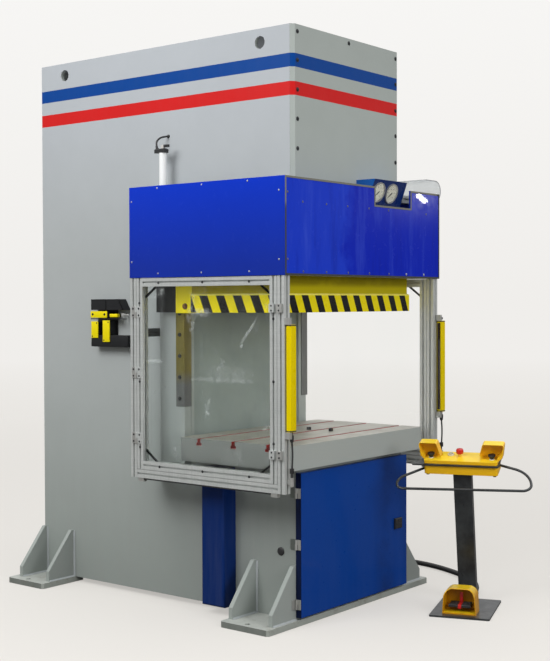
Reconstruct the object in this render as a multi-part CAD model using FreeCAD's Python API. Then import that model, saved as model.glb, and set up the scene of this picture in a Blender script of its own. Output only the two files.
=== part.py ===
import FreeCAD, Part
import math
import os
from FreeCAD import Placement, Rotation, Vector

# Hydraulic C-frame press with a guarded work space and a two-hand control stand.
# Millimetres. X to the right, Y to the rear, Z up. Origin: on the floor, in the middle of the
# frame's width, under the front face of its head.

# ---- frame ----
FRAME_WIDTH = 1000.0
FRAME_DEPTH = 1923.0
FRAME_TOP = 3100.0
PLATE = 25.0                 # thickness of the side, back and throat plates
HALF = FRAME_WIDTH / 2
INNER = HALF - PLATE
TOP_PLATE = 20.0
COVER_SHEET = 4.0
COVER_CORNER = 20.0          # 45 degree corner of the folded head cover
BASE_FRONT = -15.0           # front edge of the side plates below the table
THROAT_BACK = 710.0          # how far the C-shaped cut-out reaches back
THROAT_GAP = 12.0            # from the cut-out's edge to the plate that closes it
THROAT_RADIUS = 25.0
HEAD_FLOOR_Z = 2010.0
HEAD_FLOOR = 60.0
HEAD_FLOOR_BACK = 1000.0
BED_PLATE = 60.0
FLOOR_PLATE = 20.0
LIFT_HOLE_R = 33.0
LIFT_HOLE_Y = (217.0, FRAME_DEPTH - 205.0)
LIFT_HOLE_Z = FRAME_TOP - 72.0
PLUG_HOLE_R = 20.0
PLUG_HOLE_AT = (85.0, 375.0)

# ---- feet ----
FOOT_THICK = 31.0
FOOT_REACH = HALF + 260.0    # half-width over the feet
FRONT_FOOT = (-34.0, 285.0)
REAR_FOOT = (FRAME_DEPTH - 271.0, FRAME_DEPTH + 38.0)
REAR_FOOT_INNER = HALF - 60.0
FOOT_CORNER = 12.0
ANCHOR_R = 14.0
ANCHOR_X = FOOT_REACH - 40.0
ANCHOR_Y = (132.0, FRAME_DEPTH - 101.0)
GUSSET = 25.0
GUSSET_Y = (BASE_FRONT, FRONT_FOOT[1] - 36.0, REAR_FOOT[0] + 10.0, FRAME_DEPTH - GUSSET)
GUSSET_REACH = FOOT_REACH - 60.0
GUSSET_TOP = 310.0
GUSSET_NOSE = 60.0
GUSSET_LAND = 22.0

# ---- table ----
TABLE_TOP = 943.0
TABLE_THICK = 127.0
TABLE_HALF = HALF + 125.0
TABLE_Y = (-78.0, 680.0)
BED_TOP = TABLE_TOP - TABLE_THICK
TABLE_CORNER = 18.0
SLOT_Y = (69.0, 302.0, 542.0)
SLOT_MOUTH = 22.0
SLOT_MOUTH_DEEP = 22.0
SLOT_TEE = 37.0
SLOT_TEE_DEEP = 16.0
STUD_R = 18.0
STUD_TALL = 18.0
STUD_AT = ((98.0, 350.0), (114.0, 207.0))

# ---- ram and its guides ----
STROKE = 500.0
DAYLIGHT = 674.0             # from the table up to the ram at rest
RAM_HALF = HALF + 115.0
RAM_Y = (19.0, 597.0)
RAM_BOTTOM = TABLE_TOP + DAYLIGHT
RAM_TALL = 233.0
RAM_TOP = RAM_BOTTOM + RAM_TALL
RAM_WALL = 40.0
RAM_SOLE = 70.0
RAM_BOSS_R = 140.0
RAM_HOLE_R = 9.0
RAM_HOLE_DEEP = 40.0
RAM_HOLE_SPACING = (800.0, 360.0)
SKIRT = 10.0
SKIRT_TALL = 100.0
SKIRT_BEVEL = 6.0
RAIL_OUT = 60.0              # how far each guide rail stands out from the side plate
RAIL_DEEP = 60.0
RAIL_FRONT = THROAT_BACK - 4.0
RAIL_Z = (RAM_BOTTOM - STROKE - 17.0, RAM_TOP + 30.0)
PAD_OUT = 50.0               # welded bar behind and below the rail
PAD_BACK = THROAT_BACK + 185.0
PAD_FRONT = THROAT_BACK + 2.0
PAD_Z0 = BED_TOP - 56.0
SHOE_OUT = 100.0
SHOE_BACK = THROAT_BACK + 19.0
SHOE_DROP = 4.0
SHOE_TALL = 237.0
GUIDE_GAP = 0.3
ARM_BACK = THROAT_BACK + 170.0
ARM_OUT = (62.0, 94.0)
ARM_TALL = 150.0

# ---- hydraulics ----
CYLINDER_Y = 308.0
BARREL_R = 160.0
BORE_R = 110.0
BARREL_DROP = 20.0
GLAND_DEEP = 90.0
FLANGE = 210.0               # half the side of its square flange
FLANGE_THICK = 50.0
ROD_R = 90.0
RUN_GAP = 0.06
PISTON_LOW = HEAD_FLOOR_Z - BARREL_DROP + GLAND_DEEP + STROKE + 20.0
PISTON_Z = (PISTON_LOW, PISTON_LOW + 140.0)
BARREL_TOP = PISTON_Z[1] + GLAND_DEEP + 30.0
TANK = (95.0 - INNER, INNER - 95.0, FRAME_DEPTH - 803.0, FRAME_DEPTH - 103.0, 520.0)
TANK_LID = 12.0
TANK_WALL = 5.0
MOTOR_R = 125.0
MOTOR_Y = (FRAME_DEPTH - 593.0, FRAME_DEPTH - 223.0)
MOTOR_FOOT = 40.0
VALVE_BLOCK = (120.0, 300.0, TANK[2] + 30.0, TANK[2] + 170.0, 150.0)
PIPE_R = 17.0
PIPE_TOP = BARREL_TOP + 80.0
ELBOW = 60.0

# ---- enclosure of aluminium profile ----
BAR = 45.0
GROOVE = 10.0
GROOVE_DEEP = 12.0
POST_OUT = HALF + 229.0      # outer face of the posts
POST_IN = POST_OUT - BAR
POST_FRONT = -119.0
POST_BACK = THROAT_BACK + 239.0
GUARD_Z0 = 717.0
HOOD_Z0 = 1805.0
HOOD_TOP = 2297.0
SHEET = 4.0
HOOD_FRONT = POST_FRONT - 10.0
HOOD_SHEET = 3.0
NOTCH_X = (64.0, 420.0)
NOTCH_Z = HOOD_TOP - 100.0
DOOR_GAP = 2.5
PANE = 5.0
BRACE = 10.0
BRACE_ALONG = 84.0
BRACE_DOWN = 62.0
BRACKET_Z = 1483.0
HEAD_BRACKET_Y = 60.0
COVER_ARC = 60.0
COVER_FLAT = 105.0
COVER_PROUD = 35.0           # how far the clear cover swells out over the hood's side
COVER_RISE = 19.0
COVER_LIP = 24.0
COVER_CLEAR = 3.0
HINGE_Z = (933.0, 1290.0, 1620.0)
HINGE_TALL = 60.0
HINGE_LEAF = 30.0
HINGE_THICK = 4.0
HINGE_R = 5.0
CATCH_Z = (911.0, 1642.0)
CATCH_TALL = 44.0
CATCH_LONG = 32.0
CATCH_OUT = 14.0
END_BLOCK = (24.0, 40.0, 20.0)

# ---- light curtains ----
CURTAIN_WIDE = 45.0
CURTAIN_DEEP = 30.0
CURTAIN_Z = (1027.0, 1560.0)
CURTAIN_X = (27.5 - POST_OUT, POST_OUT + 6.0)
CURTAIN_STAND = 6.0
CURTAIN_CLAMP = (19.0, 34.0)
CABLE_R = 4.5
PLUG_Z = (756.0, 800.0)

# ---- pressure gauges ----
GAUGE_BOX_X = (70.0, 394.0)
GAUGE_BOX_Z = (HOOD_TOP - 92.0, HOOD_TOP + 43.0)
GAUGE_BOX_TOP_Y = POST_FRONT - 5.0
GAUGE_BOX_LOW_Y = POST_FRONT + BAR
GAUGE_X = (134.0, 262.0)
BEZEL_R = 56.0
BEZEL_PROUD = 9.0
DIAL_R = 50.0
DIAL_DEEP = 6.0
NEEDLE_LONG = 38.0

# ---- stroke transducer and switch station on the left side ----
TRANSDUCER_AT = (-HALF - 76.0, THROAT_BACK + 134.0)
TRANSDUCER_R = 20.0
TRANSDUCER_Z = (RAM_TOP, RAM_TOP + STROKE + 143.0)
TRANSDUCER_HEAD = (26.0, 48.0, 24.0)         # reach to the front, reach to the rear, height
TRANSDUCER_ROD_R = 6.0
CLAMP_Z = (1950.0, 2200.0)
CLAMP_TALL = 30.0
STATION_Y = (1140.0, 1440.0)
STATION_Z = (1416.0, 1700.0)
STATION_OUT = 60.0
STATION_TRAY_TOP = 1484.0
STATION_HOOD_LOW = 1628.0

# ---- side duct and base door ----
DUCT_OUT = 100.0
DUCT_Y = (394.0, 552.0)
DUCT_Z = (47.0, BED_TOP - 26.0)
DUCT_RADIUS = 12.0
DOOR_X = (-HALF - 5.0, HALF + 3.0)
DOOR_Y = (BASE_FRONT - 35.0, BASE_FRONT - 1.0)
DOOR_Z = (44.0, BED_TOP - 24.0)
DOOR_SHEET = 3.0
LATCH_AT = (HALF - 98.0, 409.0)
LATCH_WIDE = 70.0
LATCH_TALL = 60.0
DOOR_HINGE_Z = (DOOR_Z[0] + 69.0, 422.0, DOOR_Z[1] - 104.0)
DOOR_HINGE_TALL = 52.0
DOOR_HINGE_R = 6.0
KEEPER = 4.0
CAM = 5.0
CAM_LONG = 60.0

# ---- control stand ----
STAND_AT = (338.9, -540.8)
STAND_TURN = -70.0
STAND_PLATE = (321.0, 438.0, 10.0)
STAND_PLATE_AT = (-8.5, 3.5)
POST_X = -25.5
POST_WIDE = 98.0
POST_DEEP = 50.0
POST_WALL = 4.0
POST_FOOT_Y = 170.0
POST_LEAN = 14.5
POST_TOP_Z = 757.5
BOX_HALF = 198.0
BOX_DEEP = 138.0
BOX_TALL = 51.0
BOX_CORNER = 14.0
GUARD_PLATE = 8.0
LID_TALL = 18.0
LEFT_EAR = (101.0, 130.0, 228.0)     # inner edge at the lid, inner edge at the top, outer edge
RIGHT_EAR = (88.0, 118.0, 233.0)
EAR_TALL = 90.0
EAR_DEEP = 60.0
EAR_WALL = 4.0
EAR_SET_BACK = 27.0
EAR_CORNER = 12.0
PALM_X = 164.0
PALM_BACK = 45.0             # from the lid's front edge
PALM_STEM = 9.0
PALM_R = 20.0
PALM_TALL = 29.0
STOP_STEM = 11.0
STOP_AT = (-13.0, 9.0)
STOP_R = 20.0
STOP_TALL = 43.0
START_AT = (-64.0, 20.0)
START_R = 12.0
CAP_TALL = 16.0
STEM_DEEP = 10.0
BUTTON_TRAVEL = 6.0
GUARD_TIP = (-259.0, 12.0)   # the guard plate's left tip, and how far it stands out in front
GUARD_R = 7.0
GUARD_ROUTE = [
    (-150.0, 19.0, 797.0), (-363.0, -116.0, 713.0), (-348.0, -184.0, 671.0),
    (361.0, -162.0, 684.0), (346.0, -42.0, 759.0), (120.0, 26.0, 801.0),
]
GUARD_BENDS = (46.0, 34.0, 46.0, 95.0)       # from each corner to where its bend starts
HOOD_X = (-107.0, 73.0)
HOOD_Y = (-165.0, -48.0)
HOOD_TALL = 134.0
HOOD_SIDE = 84.0             # height of its nearly upright sides
HOOD_LEAN = 5.0
HOOD_TOP_HALF = 32.0         # half the width of its flat top
HOOD_BROW = 24.0
HOOD_WALL = 5.0
HOOD_FLOOR = 8.0
TREADLE = (118.0, 86.0, 14.0)
TREADLE_Z = 44.0

# ---- control conduit, lying on the floor from the stand to the press ----
CONDUIT_R = 15.0
CONDUIT_GLAND_R = 24.0
CONDUIT_EXIT_Z = 36.0
STAND_GLAND = (-1.0, 240.0)
PRESS_GLAND = (HALF + 40.0, 900.0, 60.0)
PRESS_RUN = 160.0
STAND_RUN = 190.0
CONDUIT_ON_FLOOR = [
    (1012.0, -135.0), (1163.0, 235.0), (1128.0, 590.0), (900.0, 850.0),
]

NODES = []


# ---- small helpers ----
def box(x0, x1, y0, y1, z0, z1):
    low = Vector(min(x0, x1), min(y0, y1), min(z0, z1))
    return Part.makeBox(abs(x1 - x0), abs(y1 - y0), abs(z1 - z0), low)


def rod(base, axis, radius, length):
    return Part.makeCylinder(radius, length, Vector(*base), Vector(*axis))


def prism(points, push):
    """A flat outline of corner points, pushed along a vector."""
    corners = [Vector(*p) for p in points]
    outline = Part.makePolygon(corners + corners[:1])
    return Part.Face(outline).extrude(Vector(*push))


def rounded(shape, radius, wanted):
    """Fillets the straight edges whose middle point passes the test."""
    edges = [e for e in shape.Edges if wanted(e.CenterOfMass)]
    return shape.makeFillet(radius, edges)


def clipped(shape, size, wanted):
    """Chamfers the edges whose middle point passes the test."""
    return shape.makeChamfer(size, [e for e in shape.Edges if wanted(e.CenterOfMass)])


def mirrored(shape):
    return shape.mirror(Vector(0, 0, 0), Vector(1, 0, 0))


def both_sides(shape):
    return [shape, mirrored(shape)]


def save(name, *solids):
    """Writes one node: one solid, or a group of separate solids."""
    os.makedirs("parts", exist_ok=True)
    shape = solids[0] if len(solids) == 1 else Part.makeCompound(list(solids))
    shape.exportStep("parts/" + name + ".step")
    NODES.append((name, len(shape.Solids), shape.isValid()))


def bar(axis, length, corner):
    """Square profile with a groove along the middle of each side, from its lowest corner."""
    edge, half, deep = BAR, GROOVE / 2, GROOVE_DEEP
    side = [(0, 0), (edge / 2 - half, 0), (edge / 2 - half, deep), (edge / 2 + half, deep),
            (edge / 2 + half, 0)]
    outline = []
    for quarter in range(4):
        for u, v in side:
            for _ in range(quarter):
                u, v = edge - v, u
            outline.append((u, v))
    x, y, z = corner
    if axis == "x":
        return prism([(x, y + u, z + v) for u, v in outline], (length, 0, 0))
    if axis == "y":
        return prism([(x + u, y, z + v) for u, v in outline], (0, length, 0))
    return prism([(x + u, y + v, z) for u, v in outline], (0, 0, length))


def bent_tube(points, radius, reaches=None):
    """A round tube along straight runs joined by tangent arcs.

    A bend starts at its reach from the corner, or at 0.45 of the shorter run beside it.
    """
    stops = [Vector(*p) for p in points]
    edges, radii = [], []
    here = stops[0]
    for k, (before, corner, after) in enumerate(zip(stops, stops[1:], stops[2:])):
        back, ahead = before - corner, after - corner
        reach = reaches[k] if reaches else 0.45 * min(back.Length, ahead.Length)
        back.normalize()
        ahead.normalize()
        turn = math.pi - back.getAngle(ahead)
        bend = reach / math.tan(turn / 2)
        radii.append(round(bend))
        start, end = corner + back * reach, corner + ahead * reach
        middle = corner + (back + ahead).normalize() * (bend / math.cos(turn / 2) - bend)
        edges.append(Part.LineSegment(here, start).toShape())
        edges.append(Part.Arc(start, middle, end).toShape())
        here = end
    edges.append(Part.LineSegment(here, stops[-1]).toShape())
    path = Part.Wire(edges)
    ring = Part.Wire(Part.makeCircle(radius, stops[0], stops[1] - stops[0]))
    tube = path.makePipe(Part.Face(ring))
    print("tube", radius, "arc radii", radii, "length", round(path.Length), "volume ratio",
          round(tube.Volume / (math.pi * radius ** 2 * path.Length), 5))
    return tube


# ---- welded frame ----
def side_plate():
    """Left C-shaped plate with the welded bar that carries its guide rail."""
    outline = [(COVER_CORNER, HEAD_FLOOR_Z), (COVER_CORNER, FRAME_TOP), (FRAME_DEPTH, FRAME_TOP),
               (FRAME_DEPTH, FOOT_THICK), (BASE_FRONT, FOOT_THICK), (BASE_FRONT, BED_TOP),
               (THROAT_BACK, BED_TOP), (THROAT_BACK, HEAD_FLOOR_Z)]
    plate = prism([(-HALF, y, z) for y, z in outline], (PLATE, 0, 0))
    plate = rounded(plate, THROAT_RADIUS, lambda c: abs(c.y - THROAT_BACK) < 1 and
                    (abs(c.z - BED_TOP) < 1 or abs(c.z - HEAD_FLOOR_Z) < 1))
    for y in LIFT_HOLE_Y:
        plate = plate.cut(rod((-HALF - 1, y, LIFT_HOLE_Z), (1, 0, 0), LIFT_HOLE_R, PLATE + 2))
    y, z = PLUG_HOLE_AT
    plate = plate.cut(rod((-HALF - 1, y, z), (1, 0, 0), PLUG_HOLE_R, PLATE + 2))
    rail_back = RAIL_FRONT + RAIL_DEEP
    pad = prism([(-HALF, PAD_FRONT, PAD_Z0), (-HALF, PAD_BACK, PAD_Z0),
                 (-HALF, PAD_BACK, HEAD_FLOOR_Z), (-HALF, rail_back, HEAD_FLOOR_Z),
                 (-HALF, rail_back, RAIL_Z[0]), (-HALF, PAD_FRONT, RAIL_Z[0])], (-PAD_OUT, 0, 0))
    return plate.fuse(pad).removeSplitter()


def frame():
    left = side_plate()
    save("side_plate_left", left)
    save("side_plate_right", mirrored(left))
    save("back_plate", box(-INNER, INNER, FRAME_DEPTH - PLATE, FRAME_DEPTH,
                           FOOT_THICK, FRAME_TOP))
    save("top_plate", box(-INNER, INNER, COVER_CORNER, FRAME_DEPTH - PLATE,
                          FRAME_TOP - TOP_PLATE, FRAME_TOP))
    throat_front = THROAT_BACK + THROAT_GAP
    save("throat_plate", box(-INNER, INNER, throat_front, throat_front + PLATE,
                             BED_TOP, HEAD_FLOOR_Z))
    head_floor = box(-INNER, INNER, COVER_CORNER, HEAD_FLOOR_BACK, HEAD_FLOOR_Z,
                     HEAD_FLOOR_Z + HEAD_FLOOR)
    hole = rod((0, CYLINDER_Y, HEAD_FLOOR_Z - 1), (0, 0, 1), BARREL_R + 1, HEAD_FLOOR + 2)
    save("head_floor", head_floor.cut(hole))
    bed = box(-INNER, INNER, BASE_FRONT, throat_front + PLATE, BED_TOP - BED_PLATE, BED_TOP)
    floor = box(-INNER, INNER, 0, FRAME_DEPTH - PLATE, FOOT_THICK, FOOT_THICK + FLOOR_PLATE)
    save("base_plates", bed, floor)


def head_cover():
    """Folded sheet over the front of the head, with a 45 degree fold along each side."""
    corner, sheet = COVER_CORNER, COVER_SHEET
    tuck = sheet * math.tan(math.radians(22.5))
    right = [(HALF - corner, 0), (HALF, corner), (HALF - sheet * math.sqrt(2), corner),
             (HALF - corner - tuck, sheet)]
    outline = right + [(-x, y) for x, y in reversed(right)]
    save("head_cover", prism([(x, y, HEAD_FLOOR_Z) for x, y in outline],
                             (0, 0, FRAME_TOP - HEAD_FLOOR_Z)))


def feet():
    front = box(-FOOT_REACH, FOOT_REACH, *FRONT_FOOT, 0, FOOT_THICK)
    rear = box(REAR_FOOT_INNER, FOOT_REACH, *REAR_FOOT, 0, FOOT_THICK)
    front = clipped(front, FOOT_CORNER, lambda c: abs(c.z - FOOT_THICK / 2) < 1)
    rear = clipped(rear, FOOT_CORNER, lambda c: abs(c.z - FOOT_THICK / 2) < 1 and c.x > HALF)
    drill = [rod((side * ANCHOR_X, y, -1), (0, 0, 1), ANCHOR_R, FOOT_THICK + 2)
             for side in (-1, 1) for y in ANCHOR_Y]
    plates = [front, rear, mirrored(rear)]
    save("foot_plates", *[plate.cut(Part.makeCompound(drill)) for plate in plates])
    gussets = []
    outline = [(HALF, FOOT_THICK), (GUSSET_REACH, FOOT_THICK),
               (GUSSET_REACH, FOOT_THICK + GUSSET_NOSE), (HALF + GUSSET_LAND, GUSSET_TOP),
               (HALF, GUSSET_TOP)]
    for y in GUSSET_Y:
        gussets += both_sides(prism([(x, y, z) for x, z in outline], (0, GUSSET, 0)))
    save("foot_gussets", *gussets)


def side_duct():
    """Folded cover over the pipes on the left side of the base."""
    out = -HALF - DUCT_OUT
    shell = box(out, -HALF, *DUCT_Y, *DUCT_Z)
    shell = rounded(shell, DUCT_RADIUS, lambda c: abs(c.x - out) < 1)
    inside = box(out + DOOR_SHEET, -HALF + 1, DUCT_Y[0] + DOOR_SHEET, DUCT_Y[1] - DOOR_SHEET,
                 DUCT_Z[0] + DOOR_SHEET, DUCT_Z[1] - DOOR_SHEET)
    inside = rounded(inside, DUCT_RADIUS - DOOR_SHEET, lambda c: abs(c.x - out - DOOR_SHEET) < 1)
    save("side_duct", shell.cut(inside))


# ---- work table ----
def table():
    top = box(-TABLE_HALF, TABLE_HALF, *TABLE_Y, BED_TOP, TABLE_TOP)
    middle = (BED_TOP + TABLE_TOP) / 2
    top = rounded(top, TABLE_CORNER, lambda c: abs(c.z - middle) < 1)
    beyond = TABLE_HALF + 1
    for y in SLOT_Y:
        neck = TABLE_TOP - SLOT_MOUTH_DEEP
        mouth = box(-beyond, beyond, y - SLOT_MOUTH / 2, y + SLOT_MOUTH / 2, neck, TABLE_TOP + 1)
        tee = box(-beyond, beyond, y - SLOT_TEE / 2, y + SLOT_TEE / 2, neck - SLOT_TEE_DEEP, neck)
        top = top.cut(mouth.fuse(tee))
    save("table", top)
    save("table_studs", *[rod((x, y, TABLE_TOP), (0, 0, 1), STUD_R, STUD_TALL)
                          for x, y in STUD_AT])


# ---- ram ----
def ram():
    body = box(-RAM_HALF, RAM_HALF, *RAM_Y, RAM_BOTTOM, RAM_TOP)
    bays = 4
    pitch = (2 * RAM_HALF - RAM_WALL) / bays
    for bay in range(bays):
        x0 = -RAM_HALF + RAM_WALL + bay * pitch
        body = body.cut(box(x0, x0 + pitch - RAM_WALL, RAM_Y[0] + RAM_WALL, RAM_Y[1] - RAM_WALL,
                            RAM_BOTTOM + RAM_SOLE, RAM_TOP + 1))
    body = body.fuse(rod((0, CYLINDER_Y, RAM_BOTTOM + RAM_SOLE), (0, 0, 1), RAM_BOSS_R,
                         RAM_TALL - RAM_SOLE)).removeSplitter()
    for side_x in (-0.5, 0.5):
        for side_y in (-0.5, 0.5):
            at = (side_x * RAM_HOLE_SPACING[0], CYLINDER_Y + side_y * RAM_HOLE_SPACING[1],
                  RAM_BOTTOM - 1)
            body = body.cut(rod(at, (0, 0, 1), RAM_HOLE_R, RAM_HOLE_DEEP + 1))
    save("ram", body)

    outer, inner = RAM_HALF + SKIRT, RAM_HALF
    front = RAM_Y[0] - SKIRT
    low, high = RAM_BOTTOM, RAM_BOTTOM + SKIRT_TALL
    skirt = prism([(-outer, front, low), (outer, front, low), (outer, RAM_Y[1], low),
                   (inner, RAM_Y[1], low), (inner, RAM_Y[0], low), (-inner, RAM_Y[0], low),
                   (-inner, RAM_Y[1], low), (-outer, RAM_Y[1], low)], (0, 0, high - low))
    top_rim = [e for e in skirt.Edges if abs(e.CenterOfMass.z - high) < 0.1 and
               (abs(e.CenterOfMass.y - front) < 0.1 or abs(abs(e.CenterOfMass.x) - outer) < 0.1)]
    save("ram_skirt", skirt.makeChamfer(SKIRT_BEVEL, top_rim))


def guides():
    rail = box(-HALF - RAIL_OUT, -HALF, RAIL_FRONT, RAIL_FRONT + RAIL_DEEP, *RAIL_Z)
    rail = rail.makeChamfer(2, [e for e in rail.Edges if abs(e.CenterOfMass.y - RAIL_FRONT) < 0.1 and
                                abs(e.CenterOfMass.x + HALF + RAIL_OUT) < 0.1])
    save("guide_rails", *both_sides(rail))
    out, face = -HALF - SHOE_OUT, -HALF - RAIL_OUT - GUIDE_GAP
    low = RAM_BOTTOM - SHOE_DROP
    outline = [(out, RAM_Y[1]), (out, SHOE_BACK), (face, SHOE_BACK),
               (face, RAIL_FRONT - GUIDE_GAP), (-HALF, RAIL_FRONT - GUIDE_GAP), (-HALF, RAM_Y[1])]
    shoe = prism([(x, y, low) for x, y in outline], (0, 0, SHOE_TALL))
    save("guide_shoes", *both_sides(shoe))


def transducer():
    """Stroke transducer: tube on the side plate, rod and arm on the ram."""
    x, y = TRANSDUCER_AT
    low, high = TRANSDUCER_Z
    tube = rod((x, y, low), (0, 0, 1), TRANSDUCER_R, high - low)
    tube = tube.cut(rod((x, y, low - 1), (0, 0, 1), TRANSDUCER_ROD_R + 0.5, high - low - 40))
    ahead, behind, tall = TRANSDUCER_HEAD
    cap = box(x - TRANSDUCER_R + 2, x + TRANSDUCER_R - 2, y - ahead, y + behind, high, high + tall)
    cap = clipped(cap, 5, lambda c: abs(c.z - high - tall) < 0.1)
    cap = cap.fuse(rod((x, y, high + tall - 1), (0, 0, 1), 11, 19))
    cap = cap.fuse(box(x - 8, x + 8, y - ahead - 18, y, high + tall + 6, high + tall + 20))
    cap = cap.removeSplitter()
    clamps = []
    for z in CLAMP_Z:
        block = box(x - TRANSDUCER_R - 8, -HALF, y - TRANSDUCER_R - 8, y + TRANSDUCER_R + 8,
                    z, z + CLAMP_TALL)
        block = block.cut(rod((x, y, z - 1), (0, 0, 1), TRANSDUCER_R, CLAMP_TALL + 2))
        clamps.append(block.cut(box(-HALF - PAD_OUT, -HALF, RAIL_FRONT, PAD_BACK,
                                    PAD_Z0, HEAD_FLOOR_Z)))
    save("stroke_transducer", tube, cap, *clamps)
    near, far = (-HALF - out for out in ARM_OUT)
    arm_top = RAM_BOTTOM + ARM_TALL
    arm = box(near, far, SHOE_BACK, ARM_BACK, RAM_BOTTOM, arm_top)
    shaft_top = low + STROKE + 60.0
    shaft = rod((x, y, arm_top), (0, 0, 1), TRANSDUCER_ROD_R, shaft_top - arm_top)
    save("transducer_arm", arm, shaft)


# ---- hydraulics ----
def hydraulics():
    foot = HEAD_FLOOR_Z - BARREL_DROP
    seat = HEAD_FLOOR_Z + HEAD_FLOOR
    barrel = rod((0, CYLINDER_Y, foot), (0, 0, 1), BARREL_R, BARREL_TOP - foot)
    barrel = barrel.fuse(box(-FLANGE, FLANGE, CYLINDER_Y - FLANGE, CYLINDER_Y + FLANGE,
                             seat, seat + FLANGE_THICK))
    barrel = barrel.cut(rod((0, CYLINDER_Y, foot + GLAND_DEEP), (0, 0, 1), BORE_R,
                            BARREL_TOP - foot - 2 * GLAND_DEEP))
    barrel = barrel.cut(rod((0, CYLINDER_Y, foot - 1), (0, 0, 1), ROD_R + RUN_GAP,
                            GLAND_DEEP + 2))
    save("main_cylinder", barrel.removeSplitter())
    shaft = rod((0, CYLINDER_Y, RAM_TOP), (0, 0, 1), ROD_R, PISTON_Z[0] - RAM_TOP)
    piston = rod((0, CYLINDER_Y, PISTON_Z[0]), (0, 0, 1), BORE_R - RUN_GAP,
                 PISTON_Z[1] - PISTON_Z[0])
    save("piston_rod", shaft.fuse(piston).removeSplitter())

    floor = FOOT_THICK + FLOOR_PLATE
    x0, x1, y0, y1, tall = TANK
    lid = floor + tall
    wall = TANK_WALL
    tank = box(x0, x1, y0, y1, floor, lid - TANK_LID)
    tank = tank.cut(box(x0 + wall, x1 - wall, y0 + wall, y1 - wall, floor + wall, lid))
    save("oil_tank", tank, box(x0 - 12, x1 + 12, y0 - 12, y1 + 12, lid - TANK_LID, lid))
    m0, m1 = MOTOR_Y
    axis_z = lid + MOTOR_FOOT + MOTOR_R
    motor = rod((-150, m0, axis_z), (0, 1, 0), MOTOR_R, m1 - m0)
    motor = motor.fuse(box(-150 - 90, -150 + 90, m0 + 40, m1 - 40, lid, axis_z - 80))
    save("pump_motor", motor.removeSplitter())
    v0, v1, w0, w1, block_tall = VALVE_BLOCK
    block = box(v0, v1, w0, w1, lid, lid + block_tall)
    for k in range(3):
        coil = v0 + 15 + 55 * k
        block = block.fuse(box(coil, coil + 40, w0 - 70, w0, lid + 80, lid + 120))
    save("valve_block", block.removeSplitter())
    px, py = v0 + 60, (w0 + w1) / 2
    half = ELBOW / 2
    riser = rod((px, py, lid + block_tall), (0, 0, 1), PIPE_R, PIPE_TOP - lid - block_tall)
    across = rod((px, py, PIPE_TOP), (0, CYLINDER_Y - py, 0), PIPE_R, py - CYLINDER_Y)
    elbow = box(px - half, px + half, py - half, py + half, PIPE_TOP - half, PIPE_TOP + half)
    port = box(0, px + half, CYLINDER_Y - half, CYLINDER_Y + half, BARREL_TOP, PIPE_TOP + half)
    pipe = riser.fuse(across).fuse(elbow).fuse(port)
    save("pressure_pipe", pipe.removeSplitter())


# ---- enclosure ----
def enclosure():
    posts, rails = [], []
    left, inner = -POST_OUT, -POST_IN
    rail_start, rail_end = POST_FRONT + BAR, POST_BACK - BAR
    for y in (POST_FRONT, rail_end):
        posts += both_sides(bar("z", HOOD_TOP - GUARD_Z0, (left, y, GUARD_Z0)))
    for z in (GUARD_Z0, HOOD_Z0, HOOD_TOP - BAR):
        rails += both_sides(bar("y", rail_end - rail_start, (left, rail_start, z)))
    for z in (HOOD_Z0, NOTCH_Z - BAR - 4):
        rails.append(bar("x", 2 * POST_IN, (inner, POST_FRONT, z)))
    for z in (GUARD_Z0, BRACKET_Z, HOOD_TOP - BAR):
        rails += both_sides(bar("x", POST_IN - HALF, (inner, rail_end, z)))
    rails += both_sides(bar("x", POST_IN - HALF, (inner, HEAD_BRACKET_Y, HOOD_TOP - BAR)))
    save("enclosure_posts", *posts)
    save("enclosure_rails", *rails)

    deep, long, tall = END_BLOCK
    return [side for y in (rail_start + 6, rail_end - 6 - long)
            for side in both_sides(box(left + 4, left + 4 + deep, y, y + long,
                                       GUARD_Z0 - tall, GUARD_Z0))]


def hood():
    panel = box(-POST_OUT - SHEET, -POST_OUT, POST_FRONT, POST_BACK, HOOD_Z0, HOOD_TOP)
    save("hood_side_panels", *both_sides(panel))
    wide = POST_OUT + SHEET

    def outline(inset, y):
        n0, n1 = NOTCH_X[0] - inset, NOTCH_X[1] + inset
        x, low, high = wide - inset, HOOD_Z0 + inset, HOOD_TOP - inset
        step = NOTCH_Z - inset
        return [(-x, y, low), (x, y, low), (x, y, high), (n1, y, high), (n1, y, step),
                (n0, y, step), (n0, y, high), (-x, y, high)]

    tray = prism(outline(0, HOOD_FRONT), (0, POST_FRONT - HOOD_FRONT, 0))
    pocket = prism(outline(HOOD_SHEET, HOOD_FRONT + HOOD_SHEET), (0, 20, 0))
    save("hood_front_panel", tray.cut(pocket))


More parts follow.
